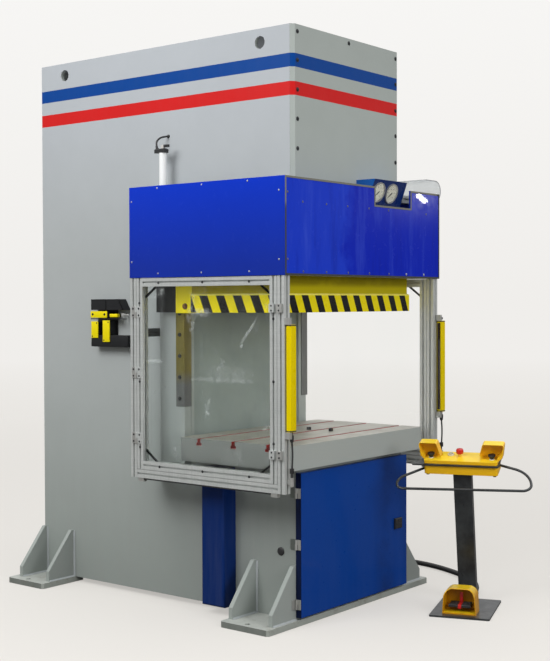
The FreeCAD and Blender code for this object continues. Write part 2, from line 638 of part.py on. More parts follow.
def clear_cover():
    """Bent clear sheet along the top of the right hood panel: lip, swelling arc and flat top."""
    face = POST_OUT + SHEET
    middle_x, middle_z = face + COVER_PROUD - COVER_ARC, HOOD_TOP + COVER_RISE

    def outline(radius, lip_x):
        low = -math.acos((lip_x - middle_x) / radius)
        turns = (low, (low + math.pi / 2) / 2, math.pi / 2)
        start, through, end = [Vector(middle_x + radius * math.cos(t), 0,
                                      middle_z + radius * math.sin(t)) for t in turns]
        foot = Vector(lip_x, 0, HOOD_TOP - COVER_LIP - COVER_ARC)
        tip = Vector(middle_x - COVER_FLAT, 0, middle_z + radius)
        return foot, start, Part.Arc(start, through, end).toShape(), end, tip

    foot, start, arc, end, tip = outline(COVER_ARC, face + COVER_CLEAR)
    foot_in, start_in, arc_in, end_in, tip_in = outline(COVER_ARC - COVER_CLEAR, face)
    runs = [(foot, start), (end, tip), (tip, tip_in), (tip_in, end_in), (start_in, foot_in),
            (foot_in, foot)]
    edges = [Part.LineSegment(a, b).toShape() for a, b in runs] + [arc, arc_in]
    sheet = Part.Face(Part.Wire(Part.__sortEdges__(edges))).extrude(
        Vector(0, POST_BACK - POST_FRONT, 0))
    sheet.translate(Vector(0, POST_FRONT, 0))
    save("clear_side_cover", sheet)


def guard_doors():
    """Left and right guard doors: profile frame, corner braces, pane, hinges and catches."""
    left = -POST_OUT
    y0, y1 = POST_FRONT + BAR + DOOR_GAP, POST_BACK - BAR - DOOR_GAP
    z0, z1 = GUARD_Z0 + BAR + DOOR_GAP, HOOD_Z0 - DOOR_GAP
    frame_bars = [bar("z", z1 - z0, (left, y0, z0)), bar("z", z1 - z0, (left, y1 - BAR, z0)),
                  bar("y", y1 - y0 - 2 * BAR, (left, y0 + BAR, z0)),
                  bar("y", y1 - y0 - 2 * BAR, (left, y0 + BAR, z1 - BAR))]
    in0, in1, low, high = y0 + BAR, y1 - BAR, z0 + BAR, z1 - BAR
    pane_x = left + BAR / 2 - PANE / 2
    pane = box(pane_x, pane_x + PANE, in0 - GROOVE_DEEP, in1 + GROOVE_DEEP,
               low - GROOVE_DEEP, high + GROOVE_DEEP)
    for y, step in ((in0, 1), (in1, -1)):
        for z, rise in ((low, 1), (high, -1)):
            a, b = BRACE_ALONG, BRACE_DOWN
            outline = [(y + step * a, z), (y + step * (a - BRACE * 1.6), z),
                       (y, z + rise * (b - BRACE * 1.2)), (y, z + rise * b)]
            start = pane_x + PANE
            frame_bars.append(prism([(start, p, q) for p, q in outline], (BRACE, 0, 0)))
    catches = [box(left - CATCH_OUT, left, y0 + BAR - 4 - CATCH_LONG, y0 + BAR - 4,
                   z - CATCH_TALL / 2, z + CATCH_TALL / 2) for z in CATCH_Z]
    keeps = [box(left - CATCH_OUT, left, y0 - DOOR_GAP - 4 - CATCH_LONG, y0 - DOOR_GAP - 4,
                 z - CATCH_TALL / 2, z + CATCH_TALL / 2) for z in CATCH_Z]
    axis_x, axis_y = left - HINGE_R - 0.5, y1 + DOOR_GAP / 2
    moving, fixed = [], []
    for z in HINGE_Z:
        for low_z, group, side in ((z - HINGE_TALL / 2, fixed, 1), (z, moving, -1)):
            knuckle = rod((axis_x, axis_y, low_z), (0, 0, 1), HINGE_R, HINGE_TALL / 2)
            start = axis_y + side * (HINGE_LEAF + 2)
            leaf = box(left - HINGE_THICK, left, axis_y + side * (HINGE_R + 1), start,
                       z - HINGE_TALL / 2, z + HINGE_TALL / 2)
            neck = box(axis_x, left - 0.6, axis_y, axis_y + side * (HINGE_R + 3), low_z,
                       low_z + HINGE_TALL / 2)
            group.append(leaf.fuse(knuckle).fuse(neck).removeSplitter())
    for name, turn in (("left", lambda s: s), ("right", mirrored)):
        save(name + "_door_frame", *[turn(s) for s in frame_bars + catches + moving])
        save(name + "_door_pane", turn(pane))
    fixed_all = [side for s in keeps + fixed for side in both_sides(s)]
    return fixed_all


def base_door():
    x0, x1 = DOOR_X
    y0, y1 = DOOR_Y
    z0, z1 = DOOR_Z
    tray = box(x0, x1, y0, y1, z0, z1)
    tray = rounded(tray, 3, lambda c: abs(c.y - y0) < 0.1)
    tray = tray.cut(box(x0 + DOOR_SHEET, x1 - DOOR_SHEET, y0 + DOOR_SHEET, y1 + 1,
                        z0 + DOOR_SHEET, z1 - DOOR_SHEET))
    lx, lz = LATCH_AT
    tray = tray.cut(rod((lx, y0 - 1, lz), (0, 1, 0), 8.0 + RUN_GAP, DOOR_SHEET + 2))
    save("base_door", tray)
    grip = box(lx - LATCH_WIDE / 2, lx + LATCH_WIDE / 2, y0 - 14, y0 - 0.5,
               lz - LATCH_TALL / 2, lz + LATCH_TALL / 2)
    grip = rounded(grip, 6, lambda c: abs(c.y - y0 + 14) < 0.1)
    cam_y = BASE_FRONT + KEEPER + 2
    grip = grip.fuse(rod((lx, y0 - 1, lz), (0, 1, 0), 8.0, cam_y + CAM - y0 + 1))
    grip = grip.fuse(box(lx - 12, lx + 12, cam_y, cam_y + CAM, lz - CAM_LONG, lz + 12))
    save("base_door_latch", grip.removeSplitter())
    radius = DOOR_HINGE_R
    axis_x, axis_y = x0 - radius - 0.5, y0 + 26
    half = DOOR_HINGE_TALL / 2
    fixed, moving = [], []
    for z in DOOR_HINGE_Z:
        pin = rod((axis_x, axis_y, z - half), (0, 0, 1), radius, half)
        if z < GUSSET_TOP:
            leaf = box(axis_x - 28, axis_x + 4, BASE_FRONT - 2.5, BASE_FRONT, z - half, z + half)
        else:
            leaf = box(axis_x + radius, -HALF, BASE_FRONT + 2, BASE_FRONT + 34, z - half, z + half)
        neck = box(axis_x - 1.5, axis_x + radius, axis_y, leaf.BoundBox.YMin + 2, z - half, z)
        fixed.append(pin.fuse(neck).fuse(leaf).removeSplitter())
        pin = rod((axis_x, axis_y, z), (0, 0, 1), radius, half)
        leaf = box(x0 - 3, x0, y0 + 2, axis_y - radius - 1, z - half, z + half)
        neck = box(axis_x + 2, x0, axis_y - radius - 3, axis_y - 2, z, z + half)
        moving.append(pin.fuse(neck).fuse(leaf).removeSplitter())
    save("base_door_hinges", *moving)
    keeper = box(lx + 38, INNER, BASE_FRONT + 1, BASE_FRONT + 1 + KEEPER, lz - 25, lz + 25)
    return fixed + [keeper]


# ---- light curtains ----
def light_curtains():
    bodies, clamps, cables = [], [], []
    for x in CURTAIN_X:
        x0, x1 = x - CURTAIN_WIDE / 2, x + CURTAIN_WIDE / 2
        back = POST_FRONT - CURTAIN_STAND
        front = back - CURTAIN_DEEP
        body = box(x0, x1, front, back, *CURTAIN_Z)
        bodies.append(rounded(body, 5, lambda c: abs(c.z - sum(CURTAIN_Z) / 2) < 1))
        for z in (CURTAIN_Z[0] - CURTAIN_CLAMP[1], CURTAIN_Z[1]):
            clamps.append(box(x0 - 4, x0 - 4 + CURTAIN_CLAMP[0], front + 5, POST_FRONT,
                              z, z + CURTAIN_CLAMP[1]))
        cable_y = front + 12
        cables.append(rod((x, cable_y, PLUG_Z[1]), (0, 0, 1), CABLE_R, CURTAIN_Z[0] - PLUG_Z[1]))
        plug = rod((x, cable_y, PLUG_Z[0]), (0, 0, 1), 10, PLUG_Z[1] - PLUG_Z[0])
        saddle = box(x - 8, x + 8, cable_y, POST_FRONT, PLUG_Z[0] + 10, PLUG_Z[1] - 10)
        clamps.append(plug.fuse(saddle).removeSplitter())
    save("light_curtains", *bodies)
    save("curtain_clamps", *clamps)
    save("curtain_cables", *cables)


# ---- gauges ----
def gauges():
    x0, x1 = GAUGE_BOX_X
    low, high = GAUGE_BOX_Z
    top_y, low_y = GAUGE_BOX_TOP_Y, GAUGE_BOX_LOW_Y
    wall = HOOD_SHEET
    shell = prism([(x0, 0, low), (x0, low_y, low), (x0, top_y, high), (x0, 0, high)],
                  (x1 - x0, 0, 0))
    slope = math.atan2(low_y - top_y, high - low)
    face_in = wall / math.cos(slope)
    low_in = low_y + face_in - wall * math.tan(slope)
    top_in = top_y + face_in + wall * math.tan(slope)
    inside = prism([(x0 + wall, 1, low + wall), (x0 + wall, low_in, low + wall),
                    (x0 + wall, top_in, high - wall), (x0 + wall, 1, high - wall)],
                   (x1 - x0 - 2 * wall, 0, 0))
    shell = shell.cut(inside)
    outward = Vector(0, -math.cos(slope), -math.sin(slope))
    cases, needles = [], []
    for x in GAUGE_X:
        centre = Vector(x, (top_y + low_y) / 2, (low + high) / 2)
        case = Part.makeCylinder(BEZEL_R, BEZEL_PROUD, centre, outward)
        dial = centre + outward * (BEZEL_PROUD - DIAL_DEEP)
        cases.append(case.cut(Part.makeCylinder(DIAL_R, DIAL_DEEP + 1, dial, outward)))
        needles.append(needle(dial + outward * 0.3, slope))
    save("gauge_box", shell)
    save("gauge_cases", *cases)
    save("gauge_needle_left", needles[0])
    save("gauge_needle_right", needles[1])


def needle(centre, slope):
    """Pointer with a square hub just in front of the dial, resting at the lower left."""
    outline = [(-2.6, -9), (2.6, -9), (4, 0), (0.8, NEEDLE_LONG), (-0.8, NEEDLE_LONG), (-4, 0)]
    blade = prism([(x, 0, z) for x, z in outline], (0, -1.5, 0))
    blade.rotate(Vector(0, 0, 0), Vector(0, -1, 0), 135)
    blade.rotate(Vector(0, 0, 0), Vector(1, 0, 0), math.degrees(slope))
    blade.translate(centre)
    return blade


# ---- switch station behind the left guard ----
def switch_station():
    out = -HALF - STATION_OUT
    y0, y1 = STATION_Y
    low, high = STATION_Z
    back = box(-HALF - 5, -HALF, y0, y1, low, high)
    tray = box(out, -HALF - 5, y0, y1, low, STATION_TRAY_TOP)
    hood_sheet = prism([(-HALF - 5, y0, high), (out - 8, y0, STATION_HOOD_LOW),
                        (out - 8, y0, STATION_HOOD_LOW - 5), (out - 3, y0, STATION_HOOD_LOW - 5),
                        (-HALF - 5, y0, high - 8)], (0, y1 - y0, 0))
    hood_sheet = hood_sheet.cut(box(out - 10, -HALF, (y0 + y1) / 2 - 4, (y0 + y1) / 2 + 4,
                                    STATION_HOOD_LOW - 10, high - 30))
    save("switch_station", back.fuse(tray).fuse(hood_sheet).removeSplitter())
    key_plate = box(out - 6, -HALF - 5, 1281, 1438, 1584, 1622)
    key_plate = key_plate.cut(box(out + 4, -HALF - 5, 1291, 1428, 1583, 1610))
    for y in (1314, 1418):
        key_plate = key_plate.cut(rod((out - 7, y, 1603), (1, 0, 0), 6, 12))
    bodies = [key_plate, box(out, -HALF - 5, 1176, 1248, 1586, 1606)]
    for y_low, y_high, z_top in ((1367, 1432, 1564), (1254, 1316, 1570)):
        switch = box(out + 2, -HALF - 5, y_low, y_high, STATION_TRAY_TOP, z_top)
        bodies.append(clipped(switch, 4, lambda c: abs(c.x - out - 2) < 0.1))
    save("station_switches", *bodies)


# ---- control stand, modelled facing -Y at its own origin, then turned and placed ----
def place_stand(shape):
    shape.rotate(Vector(0, 0, 0), Vector(0, 0, 1), STAND_TURN)
    shape.translate(Vector(*STAND_AT, 0))
    return shape


def lean_back(shape):
    """From level at the origin to square on the leaning post's top, in the stand's own frame."""
    lean = math.tan(math.radians(POST_LEAN))
    middle_y = POST_FOOT_Y + POST_DEEP / 2 - (POST_TOP_Z - STAND_PLATE[2]) * lean
    shape.rotate(Vector(0, 0, 0), Vector(1, 0, 0), POST_LEAN)
    shape.translate(Vector(POST_X, middle_y, POST_TOP_Z))
    return shape


def place_control(shape):
    return place_stand(lean_back(shape))


def stand_post():
    lean = math.tan(math.radians(POST_LEAN))
    low, high = STAND_PLATE[2], POST_TOP_Z + 40

    def slanted(inset, z0, z1):
        front, rear = POST_FOOT_Y + inset, POST_FOOT_Y + POST_DEEP - inset
        x = POST_X - POST_WIDE / 2 + inset
        points = [(x, front - (z0 - low) * lean, z0), (x, rear - (z0 - low) * lean, z0),
                  (x, rear - (z1 - low) * lean, z1), (x, front - (z1 - low) * lean, z1)]
        return prism(points, (POST_WIDE - 2 * inset, 0, 0))

    post = slanted(0, low, high).cut(slanted(POST_WALL, low - 1, high + 1))
    return post, slanted(0, low, high)


def stand():
    wide, deep, thick = STAND_PLATE
    plate = box(-wide / 2, wide / 2, -deep / 2, deep / 2, 0, thick)
    plate = rounded(plate, 8, lambda c: abs(c.z - thick / 2) < 1)
    plate.translate(Vector(*STAND_PLATE_AT, 0))
    post, core = stand_post()
    post = post.cut(lean_back(box(-400, 400, -400, 400, 0, 200)))
    gland = rod((STAND_GLAND[0], POST_FOOT_Y, CONDUIT_EXIT_Z), (0, 1, 0), CONDUIT_GLAND_R,
                STAND_GLAND[1] - POST_FOOT_Y)
    gland = gland.cut(core)
    gland = [s for s in gland.Solids if s.CenterOfMass.y > POST_FOOT_Y + POST_DEEP / 2][0]
    save("control_stand", place_stand(plate), place_stand(post))
    return place_stand(gland)


def control_ear(side, inset, front, rear, low, top):
    """One palm button's cover, drawn in by inset, flaring outwards and rounded along its top."""
    inner, top_in, wide = LEFT_EAR if side < 0 else RIGHT_EAR
    outer, wide = BOX_HALF - inset, wide - inset
    inner, top_in = inner + inset, top_in + inset
    points = [(outer, low), (outer, low + 12), (wide - 10, low + 34), (wide, top), (top_in, top),
              (inner, low)]
    ear = prism([(side * x, front, z) for x, z in points], (0, rear - front, 0))
    return rounded(ear, EAR_CORNER - inset, lambda c: abs(c.z - top) < 1 and
                   front + 1 < c.y < rear - 1)


def control_box():
    half, deep = BOX_HALF, BOX_DEEP / 2
    base = box(-half, half, -deep, deep, 0, BOX_TALL)
    base = rounded(base, BOX_CORNER, lambda c: abs(c.z - BOX_TALL / 2) < 1)
    save("control_box", place_control(base))

    z0 = BOX_TALL + GUARD_PLATE
    z1 = z0 + LID_TALL
    top = z1 + EAR_TALL
    lid = box(-half, half, -deep, deep, z0, z1)
    lid = rounded(lid, BOX_CORNER, lambda c: abs(c.z - (z0 + z1) / 2) < 1)
    ear_front = EAR_SET_BACK - deep
    ear_rear = ear_front + EAR_DEEP
    for side in (-1, 1):
        shell = control_ear(side, 0, ear_front, ear_rear, z0, top)
        hollow = control_ear(side, EAR_WALL, ear_front - 1, ear_rear - EAR_WALL, z1,
                             top - EAR_WALL)
        lid = lid.fuse(shell).cut(hollow)
    lid = lid.fuse(rod((*START_AT, z1), (0, 0, 1), START_R + 5, 5.0))
    palm_y = PALM_BACK - deep
    stems = [((-PALM_X, palm_y), PALM_STEM), ((PALM_X, palm_y), PALM_STEM), (STOP_AT, STOP_STEM),
             (START_AT, START_R)]
    for (x, y), radius in stems:
        lid = lid.cut(rod((x, y, z1 - STEM_DEEP - BUTTON_TRAVEL - 2), (0, 0, 1),
                          radius + RUN_GAP, STEM_DEEP + BUTTON_TRAVEL + 12))
    save("control_lid", place_control(lid.removeSplitter()))

    def mushroom(x, y, stem, cap, tall):
        shaft = rod((x, y, z1 - STEM_DEEP), (0, 0, 1), stem, STEM_DEEP + tall - CAP_TALL)
        head = rod((x, y, z1 + tall - CAP_TALL), (0, 0, 1), cap, CAP_TALL)
        return place_control(shaft.fuse(head).removeSplitter())

    save("palm_button_left", mushroom(-PALM_X, palm_y, PALM_STEM, PALM_R, PALM_TALL))
    save("palm_button_right", mushroom(PALM_X, palm_y, PALM_STEM, PALM_R, PALM_TALL))
    save("emergency_stop", mushroom(*STOP_AT, STOP_STEM, STOP_R, STOP_TALL))
    save("start_button", place_control(rod((*START_AT, z1 - STEM_DEEP), (0, 0, 1), START_R,
                                           STEM_DEEP + 12)))


def guard_loop():
    """Bent tube round the front of the control box, and the flat plate between box and lid."""
    half, deep = BOX_HALF, BOX_DEEP / 2
    tip, proud = GUARD_TIP
    front = -deep - proud
    outline = [(-half, deep), (-half - 14, deep - 50), (tip, front), (half + 6, front),
               (half + 10, front + 20), (half + 6, deep)]
    plate = place_control(prism([(x, y, BOX_TALL) for x, y in outline], (0, 0, GUARD_PLATE)))
    tube = place_stand(bent_tube(GUARD_ROUTE, GUARD_R, GUARD_BENDS))
    inside = box(-half, half, -deep, deep, 0, BOX_TALL + GUARD_PLATE + LID_TALL)
    tube = tube.cut(place_control(inside))
    loop = max(tube.Solids, key=lambda s: s.Volume)
    save("guard_rail", plate, loop)


def foot_switch():
    x0, x1 = HOOD_X
    y0, y1 = HOOD_Y
    floor = STAND_PLATE[2]
    top = floor + HOOD_TALL
    middle = (x0 + x1) / 2

    def arch(inset, front, rear, low):
        """The hood's outline: leaning sides, quarter-round shoulders and a flat top."""
        half, shoulder = (x1 - x0) / 2 - inset, floor + HOOD_SIDE
        flat, high = HOOD_TOP_HALF - inset / 2, top - inset
        side = half - HOOD_LEAN
        bend_x, bend_z = flat + (side - flat) * 0.72, shoulder + (high - shoulder) * 0.74

        def spot(x, z):
            return Vector(middle + x, front, z)

        right = Part.Arc(spot(side, shoulder), spot(bend_x, bend_z), spot(flat, high)).toShape()
        left = Part.Arc(spot(-flat, high), spot(-bend_x, bend_z), spot(-side, shoulder)).toShape()
        straight = [(spot(-half, low), spot(half, low)), (spot(half, low), spot(side, shoulder)),
                    (spot(flat, high), spot(-flat, high)),
                    (spot(-side, shoulder), spot(-half, low))]
        bottom, right_side, roof, left_side = [Part.LineSegment(a, b).toShape() for a, b in straight]
        outline = Part.Wire([bottom, right_side, right, roof, left, left_side])
        return Part.Face(outline).extrude(Vector(0, rear - front, 0))

    hood_shell = arch(0, y0, y1, floor)
    brow = prism([(-200, y0 - 1, top - 40), (-200, y0 - 1, top + 1), (-200, y0 + HOOD_BROW, top + 1)],
                 (400, 0, 0))
    cavity = arch(HOOD_WALL, y0 - 1, y1 - HOOD_WALL, floor + HOOD_FLOOR)
    hood_shell = hood_shell.cut(brow).cut(cavity)
    wide, deep, thick = TREADLE
    rear = y1 - HOOD_WALL - 8
    tread = box(middle - wide / 2, middle + wide / 2, rear - deep, rear, TREADLE_Z,
                TREADLE_Z + thick)
    tread = rounded(tread, 5, lambda c: abs(c.z - TREADLE_Z - thick) < 0.1 and c.y < rear - 1)
    pivot_z = TREADLE_Z + thick / 2
    tread = tread.cut(rod((middle - wide, rear - 8, pivot_z), (1, 0, 0), 5.05, 2 * wide))
    save("foot_treadle", place_stand(tread))
    pin = rod((middle - wide / 2 - 4, rear - 8, pivot_z), (1, 0, 0), 5.0, wide + 8)
    ears = [box(middle + s * (wide / 2 + 0.4), middle + s * (wide / 2 + 4), rear - 16, rear,
                floor + HOOD_FLOOR, pivot_z + 8) for s in (-1, 1)]
    bearing = pin.fuse(ears[0]).fuse(ears[1]).removeSplitter()
    save("pedal_hood", place_stand(hood_shell), place_stand(bearing))


def conduit(stand_gland):
    turn = Rotation(Vector(0, 0, 1), STAND_TURN)
    foot = Vector(*STAND_AT, CONDUIT_EXIT_Z)
    starts = [foot + turn.multVec(Vector(STAND_GLAND[0], STAND_GLAND[1] + out, 0))
              for out in (0, STAND_RUN)]
    x, y, z = PRESS_GLAND
    lying = [(px, py, CONDUIT_R + 0.3) for px, py in CONDUIT_ON_FLOOR]
    route = [tuple(p) for p in starts] + lying + [(x + PRESS_RUN, y, z), (x, y, z)]
    save("control_conduit", bent_tube(route, CONDUIT_R))
    press_gland = rod((HALF, y, z), (1, 0, 0), CONDUIT_GLAND_R, x - HALF)
    save("conduit_glands", stand_gland, press_gland)


frame()
head_cover()
feet()
side_duct()
table()
ram()
guides()
transducer()
hydraulics()
fixed_fittings = enclosure()
hood()
clear_cover()
fixed_fittings += guard_doors()
fixed_fittings += base_door()
save("fixed_fittings", *fixed_fittings)
light_curtains()
gauges()
switch_station()
stand_gland = stand()
control_box()
guard_loop()
foot_switch()
conduit(stand_gland)
print(len(NODES), "nodes,", sum(n for _, n, _ in NODES), "solids, not valid:",
      [name for name, _, good in NODES if not good])
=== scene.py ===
"""Looks of the hydraulic press: finishes, small fittings, cords, light and camera.

Everything is in the frame's own metres. Sizes are written in millimetres and turned into
metres by mm(). X is to the right, Y to the rear, Z up, and the floor is at zero.
"""
import math
import random

import bmesh
import bpy
from mathutils import Matrix, Quaternion, Vector

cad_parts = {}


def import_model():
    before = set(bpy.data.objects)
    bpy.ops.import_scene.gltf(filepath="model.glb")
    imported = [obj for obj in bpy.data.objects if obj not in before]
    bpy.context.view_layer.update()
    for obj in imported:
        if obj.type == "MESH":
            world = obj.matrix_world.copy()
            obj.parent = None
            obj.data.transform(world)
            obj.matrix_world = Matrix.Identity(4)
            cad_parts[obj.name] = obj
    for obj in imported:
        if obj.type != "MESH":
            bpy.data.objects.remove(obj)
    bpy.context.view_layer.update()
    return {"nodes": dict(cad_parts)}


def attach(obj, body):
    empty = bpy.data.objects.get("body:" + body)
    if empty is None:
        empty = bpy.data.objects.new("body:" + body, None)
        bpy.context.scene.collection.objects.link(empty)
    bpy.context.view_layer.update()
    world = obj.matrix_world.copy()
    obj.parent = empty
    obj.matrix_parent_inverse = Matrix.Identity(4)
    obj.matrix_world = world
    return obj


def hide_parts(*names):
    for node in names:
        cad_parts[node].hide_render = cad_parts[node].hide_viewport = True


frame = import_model()

# ---- sizes that the pieces here share with the press, in millimetres ----
HALF = 500                      # half the frame's width
PLATE = 25
FOOT_TOP = 31
POST_OUT = 729
POST_FRONT = -119
POST_BACK = 949
HOOD_SHEET_OUT = 733
HOOD_FACE = -129
HOOD_LOW, HOOD_TOP = 1805, 2297
NOTCH = (64, 420, 2197)
TABLE_TOP = 943
BED_TOP = 816
SLOT_Y = (69, 302, 542)
SKIRT_FRONT = 9
SKIRT_OUT = 625
SKIRT_LOW, SKIRT_HIGH = 1617, 1717
CURTAIN_X = (-701.5, 735)
CURTAIN_FACE, CURTAIN_REAR = -155, -125
CURTAIN_Z = (1027, 1560)
CABLE_R = 4.5
CABLE_Y = -143
CABLE_LOW = 800
GAUGE_X = (134, 262)
GAUGE_FACE = (-99, 2272.5)      # Y and Z of the middle of the sloping face
GAUGE_SLOPE = math.atan2(50, 135)
DIAL_R = 50
CONDUIT_R = 15
CONDUIT_ROUTE = [
    (564.1, -457.8, 36), (742.6, -392.8, 36), (1012, -135, 15.3), (1163, 235, 15.3),
    (1128, 590, 15.3), (900, 850, 15.3), (700, 900, 60), (540, 900, 60),
]
WIRE_ROUTE = [(-576, 885, 2517), (-578, 893, 2543), (-568, 893, 2570), (-537, 884, 2590),
              (-500, 872, 2594)]
WIRE_R = 5
STAND_AT = (338.9, -540.8)
STAND_TURN = math.radians(-70)
POST_LEAN = math.radians(14.5)
LID_AT = (-25.5, 1.7, 757.5)    # origin of the control box's own frame, in the stand's frame
LID_TOP = 77
PALM_AT = ((-164, -24), (164, -24))
STOP_AT = (-13, 9)
START_AT = (-64, 20)
TREADLE_X, TREADLE_TOP = -17, 58


def mm(*values):
    return tuple(v / 1000 for v in values)


# ---- colours, written as they look in even light ----
def paint(red, green, blue):
    """A display colour from 0 to 255, as the linear colour that shaders take."""
    def linear(v):
        v /= 255
        return v / 12.92 if v <= 0.04045 else ((v + 0.055) / 1.055) ** 2.4
    return (linear(red), linear(green), linear(blue), 1)


GREY_HIGH_LIT = paint(179, 184, 189)
GREY = paint(173, 178, 178)
GREY_LOW = paint(172, 180, 175)
GREY_FRONT_SHADED = paint(170, 177, 173)
GREY_DUST = paint(150, 152, 148)
STRIPE_BLUE = paint(2, 66, 144)
STRIPE_RED = paint(206, 30, 30)
PANEL_BLUE = paint(16, 54, 194)
DOOR_BLUE = paint(4, 60, 142)
# painted shade: the base door's paint, darker for the shade on the duct
DUCT_BLUE_SHADED = paint(10, 40, 98)
YELLOW = paint(240, 222, 4)
STAND_YELLOW = paint(246, 190, 28)
STRIPE_BLACK = paint(26, 26, 27)
NEAR_BLACK = paint(34, 35, 37)
CHARCOAL = paint(58, 60, 64)
ALUMINIUM = paint(186, 189, 186)
STEEL = paint(170, 172, 174)
PLATED = paint(205, 206, 203)
SAFETY_RED = paint(214, 40, 36)
SLOT_RED = paint(190, 52, 44)
TABLE_SIDE = paint(160, 163, 160)
TABLE_FACE = paint(190, 187, 178)
CREAM = paint(232, 229, 214)
RUST_BROWN = paint(92, 70, 48)


# ---- material building ----
class Finish:
    """One node material, with short calls for the patterns that the finishes share."""

    def __init__(self, name):
        self.data = bpy.data.materials.new(name)
        self.data.use_nodes = True
        self.tree = self.data.node_tree
        self.tree.nodes.clear()
        self.shader = self.tree.nodes.new("ShaderNodeBsdfPrincipled")
        self.out = self.tree.nodes.new("ShaderNodeOutputMaterial")
        self.tree.links.new(self.shader.outputs[0], self.out.inputs[0])
        place = self.tree.nodes.new("ShaderNodeTexCoord")
        self.at = place.outputs["Object"]
        self.uv = place.outputs["UV"]
        split = self.tree.nodes.new("ShaderNodeSeparateXYZ")
        self.tree.links.new(self.at, split.inputs[0])
        self.x, self.y, self.z = split.outputs

    def put(self, socket, value):
        if isinstance(value, bpy.types.NodeSocket):
            self.tree.links.new(value, socket)
        else:
            socket.default_value = value

    def set(self, **values):
        """Sets the shader's sockets, named with underscores in place of spaces."""
        for name, value in values.items():
            self.put(self.shader.inputs[name.replace("_", " ")], value)
        return self

    def math(self, operation, *values, clamp=False):
        node = self.tree.nodes.new("ShaderNodeMath")
        node.operation = operation
        node.use_clamp = clamp
        for socket, value in zip(node.inputs, values):
            self.put(socket, value)
        return node.outputs[0]

    def span(self, value, low, high, start=0.0, end=1.0):
        """value from low to high, mapped to start to end and held there."""
        node = self.tree.nodes.new("ShaderNodeMapRange")
        for socket, number in zip(node.inputs[:5], (value, low, high, start, end)):
            self.put(socket, number)
        return node.outputs[0]

    def noise(self, scale, detail=3.0, rough=0.55, stretch=(1, 1, 1), vector=None):
        node = self.tree.nodes.new("ShaderNodeTexNoise")
        source = self.at if vector is None else vector
        if stretch != (1, 1, 1):
            fit = self.tree.nodes.new("ShaderNodeMapping")
            fit.inputs["Scale"].default_value = stretch
            self.tree.links.new(source, fit.inputs[0])
            source = fit.outputs[0]
        self.tree.links.new(source, node.inputs["Vector"])
        node.inputs["Scale"].default_value = scale
        node.inputs["Detail"].default_value = detail
        node.inputs["Roughness"].default_value = rough
        return node.outputs["Fac"]

    def mix(self, factor, first, second):
        node = self.tree.nodes.new("ShaderNodeMix")
        node.data_type = "RGBA"
        for socket, value in ((node.inputs[0], factor), (node.inputs[6], first),
                              (node.inputs[7], second)):
            self.put(socket, value)
        return node.outputs[2]

    def inside(self, value, low, high, soft=0.0004):
        """1 where value lies between low and high, with a narrow soft edge."""
        rise = self.span(value, low - soft, low + soft)
        fall = self.span(value, high - soft, high + soft)
        return self.math("SUBTRACT", rise, fall, clamp=True)

    def facing(self, axis):
        """How far the surface faces along one axis, from -1 to 1, in the piece's own frame."""
        normal = self.tree.nodes.new("ShaderNodeTexCoord").outputs["Normal"]
        split = self.tree.nodes.new("ShaderNodeSeparateXYZ")
        self.tree.links.new(normal, split.inputs[0])
        return split.outputs["XYZ".index(axis)]

    def soft_edges(self, radius):
        """Sets up a shading normal that rounds the edges, and returns a mask of them."""
        bevel = self.tree.nodes.new("ShaderNodeBevel")
        bevel.samples = 4
        bevel.inputs["Radius"].default_value = radius
        true = self.tree.nodes.new("ShaderNodeNewGeometry")
        dot = self.tree.nodes.new("ShaderNodeVectorMath")
        dot.operation = "DOT_PRODUCT"
        self.tree.links.new(bevel.outputs[0], dot.inputs[0])
        self.tree.links.new(true.outputs["Normal"], dot.inputs[1])
        self.round_normal = bevel.outputs[0]
        return self.span(dot.outputs["Value"], 0.995, 0.86)

    def bump(self, height, distance, strength=1.0):
        """Adds one layer of relief on top of what the shading normal already has."""
        node = self.tree.nodes.new("ShaderNodeBump")
        node.inputs["Distance"].default_value = distance
        node.inputs["Strength"].default_value = strength
        self.tree.links.new(height, node.inputs["Height"])
        below = getattr(self, "round_normal", None)
        if below is not None:
            self.tree.links.new(below, node.inputs["Normal"])
        self.round_normal = node.outputs[0]
        self.tree.links.new(node.outputs[0], self.shader.inputs["Normal"])
        return self


FINISHES = {}


def finish(name):
    """Keeps the material that the decorated function makes, so that it is made only once."""
    def keep(make):
        def get():
            if name not in FINISHES:
                FINISHES[name] = make(Finish(name)).data
            return FINISHES[name]
        get.bare = make
        return get
    return keep


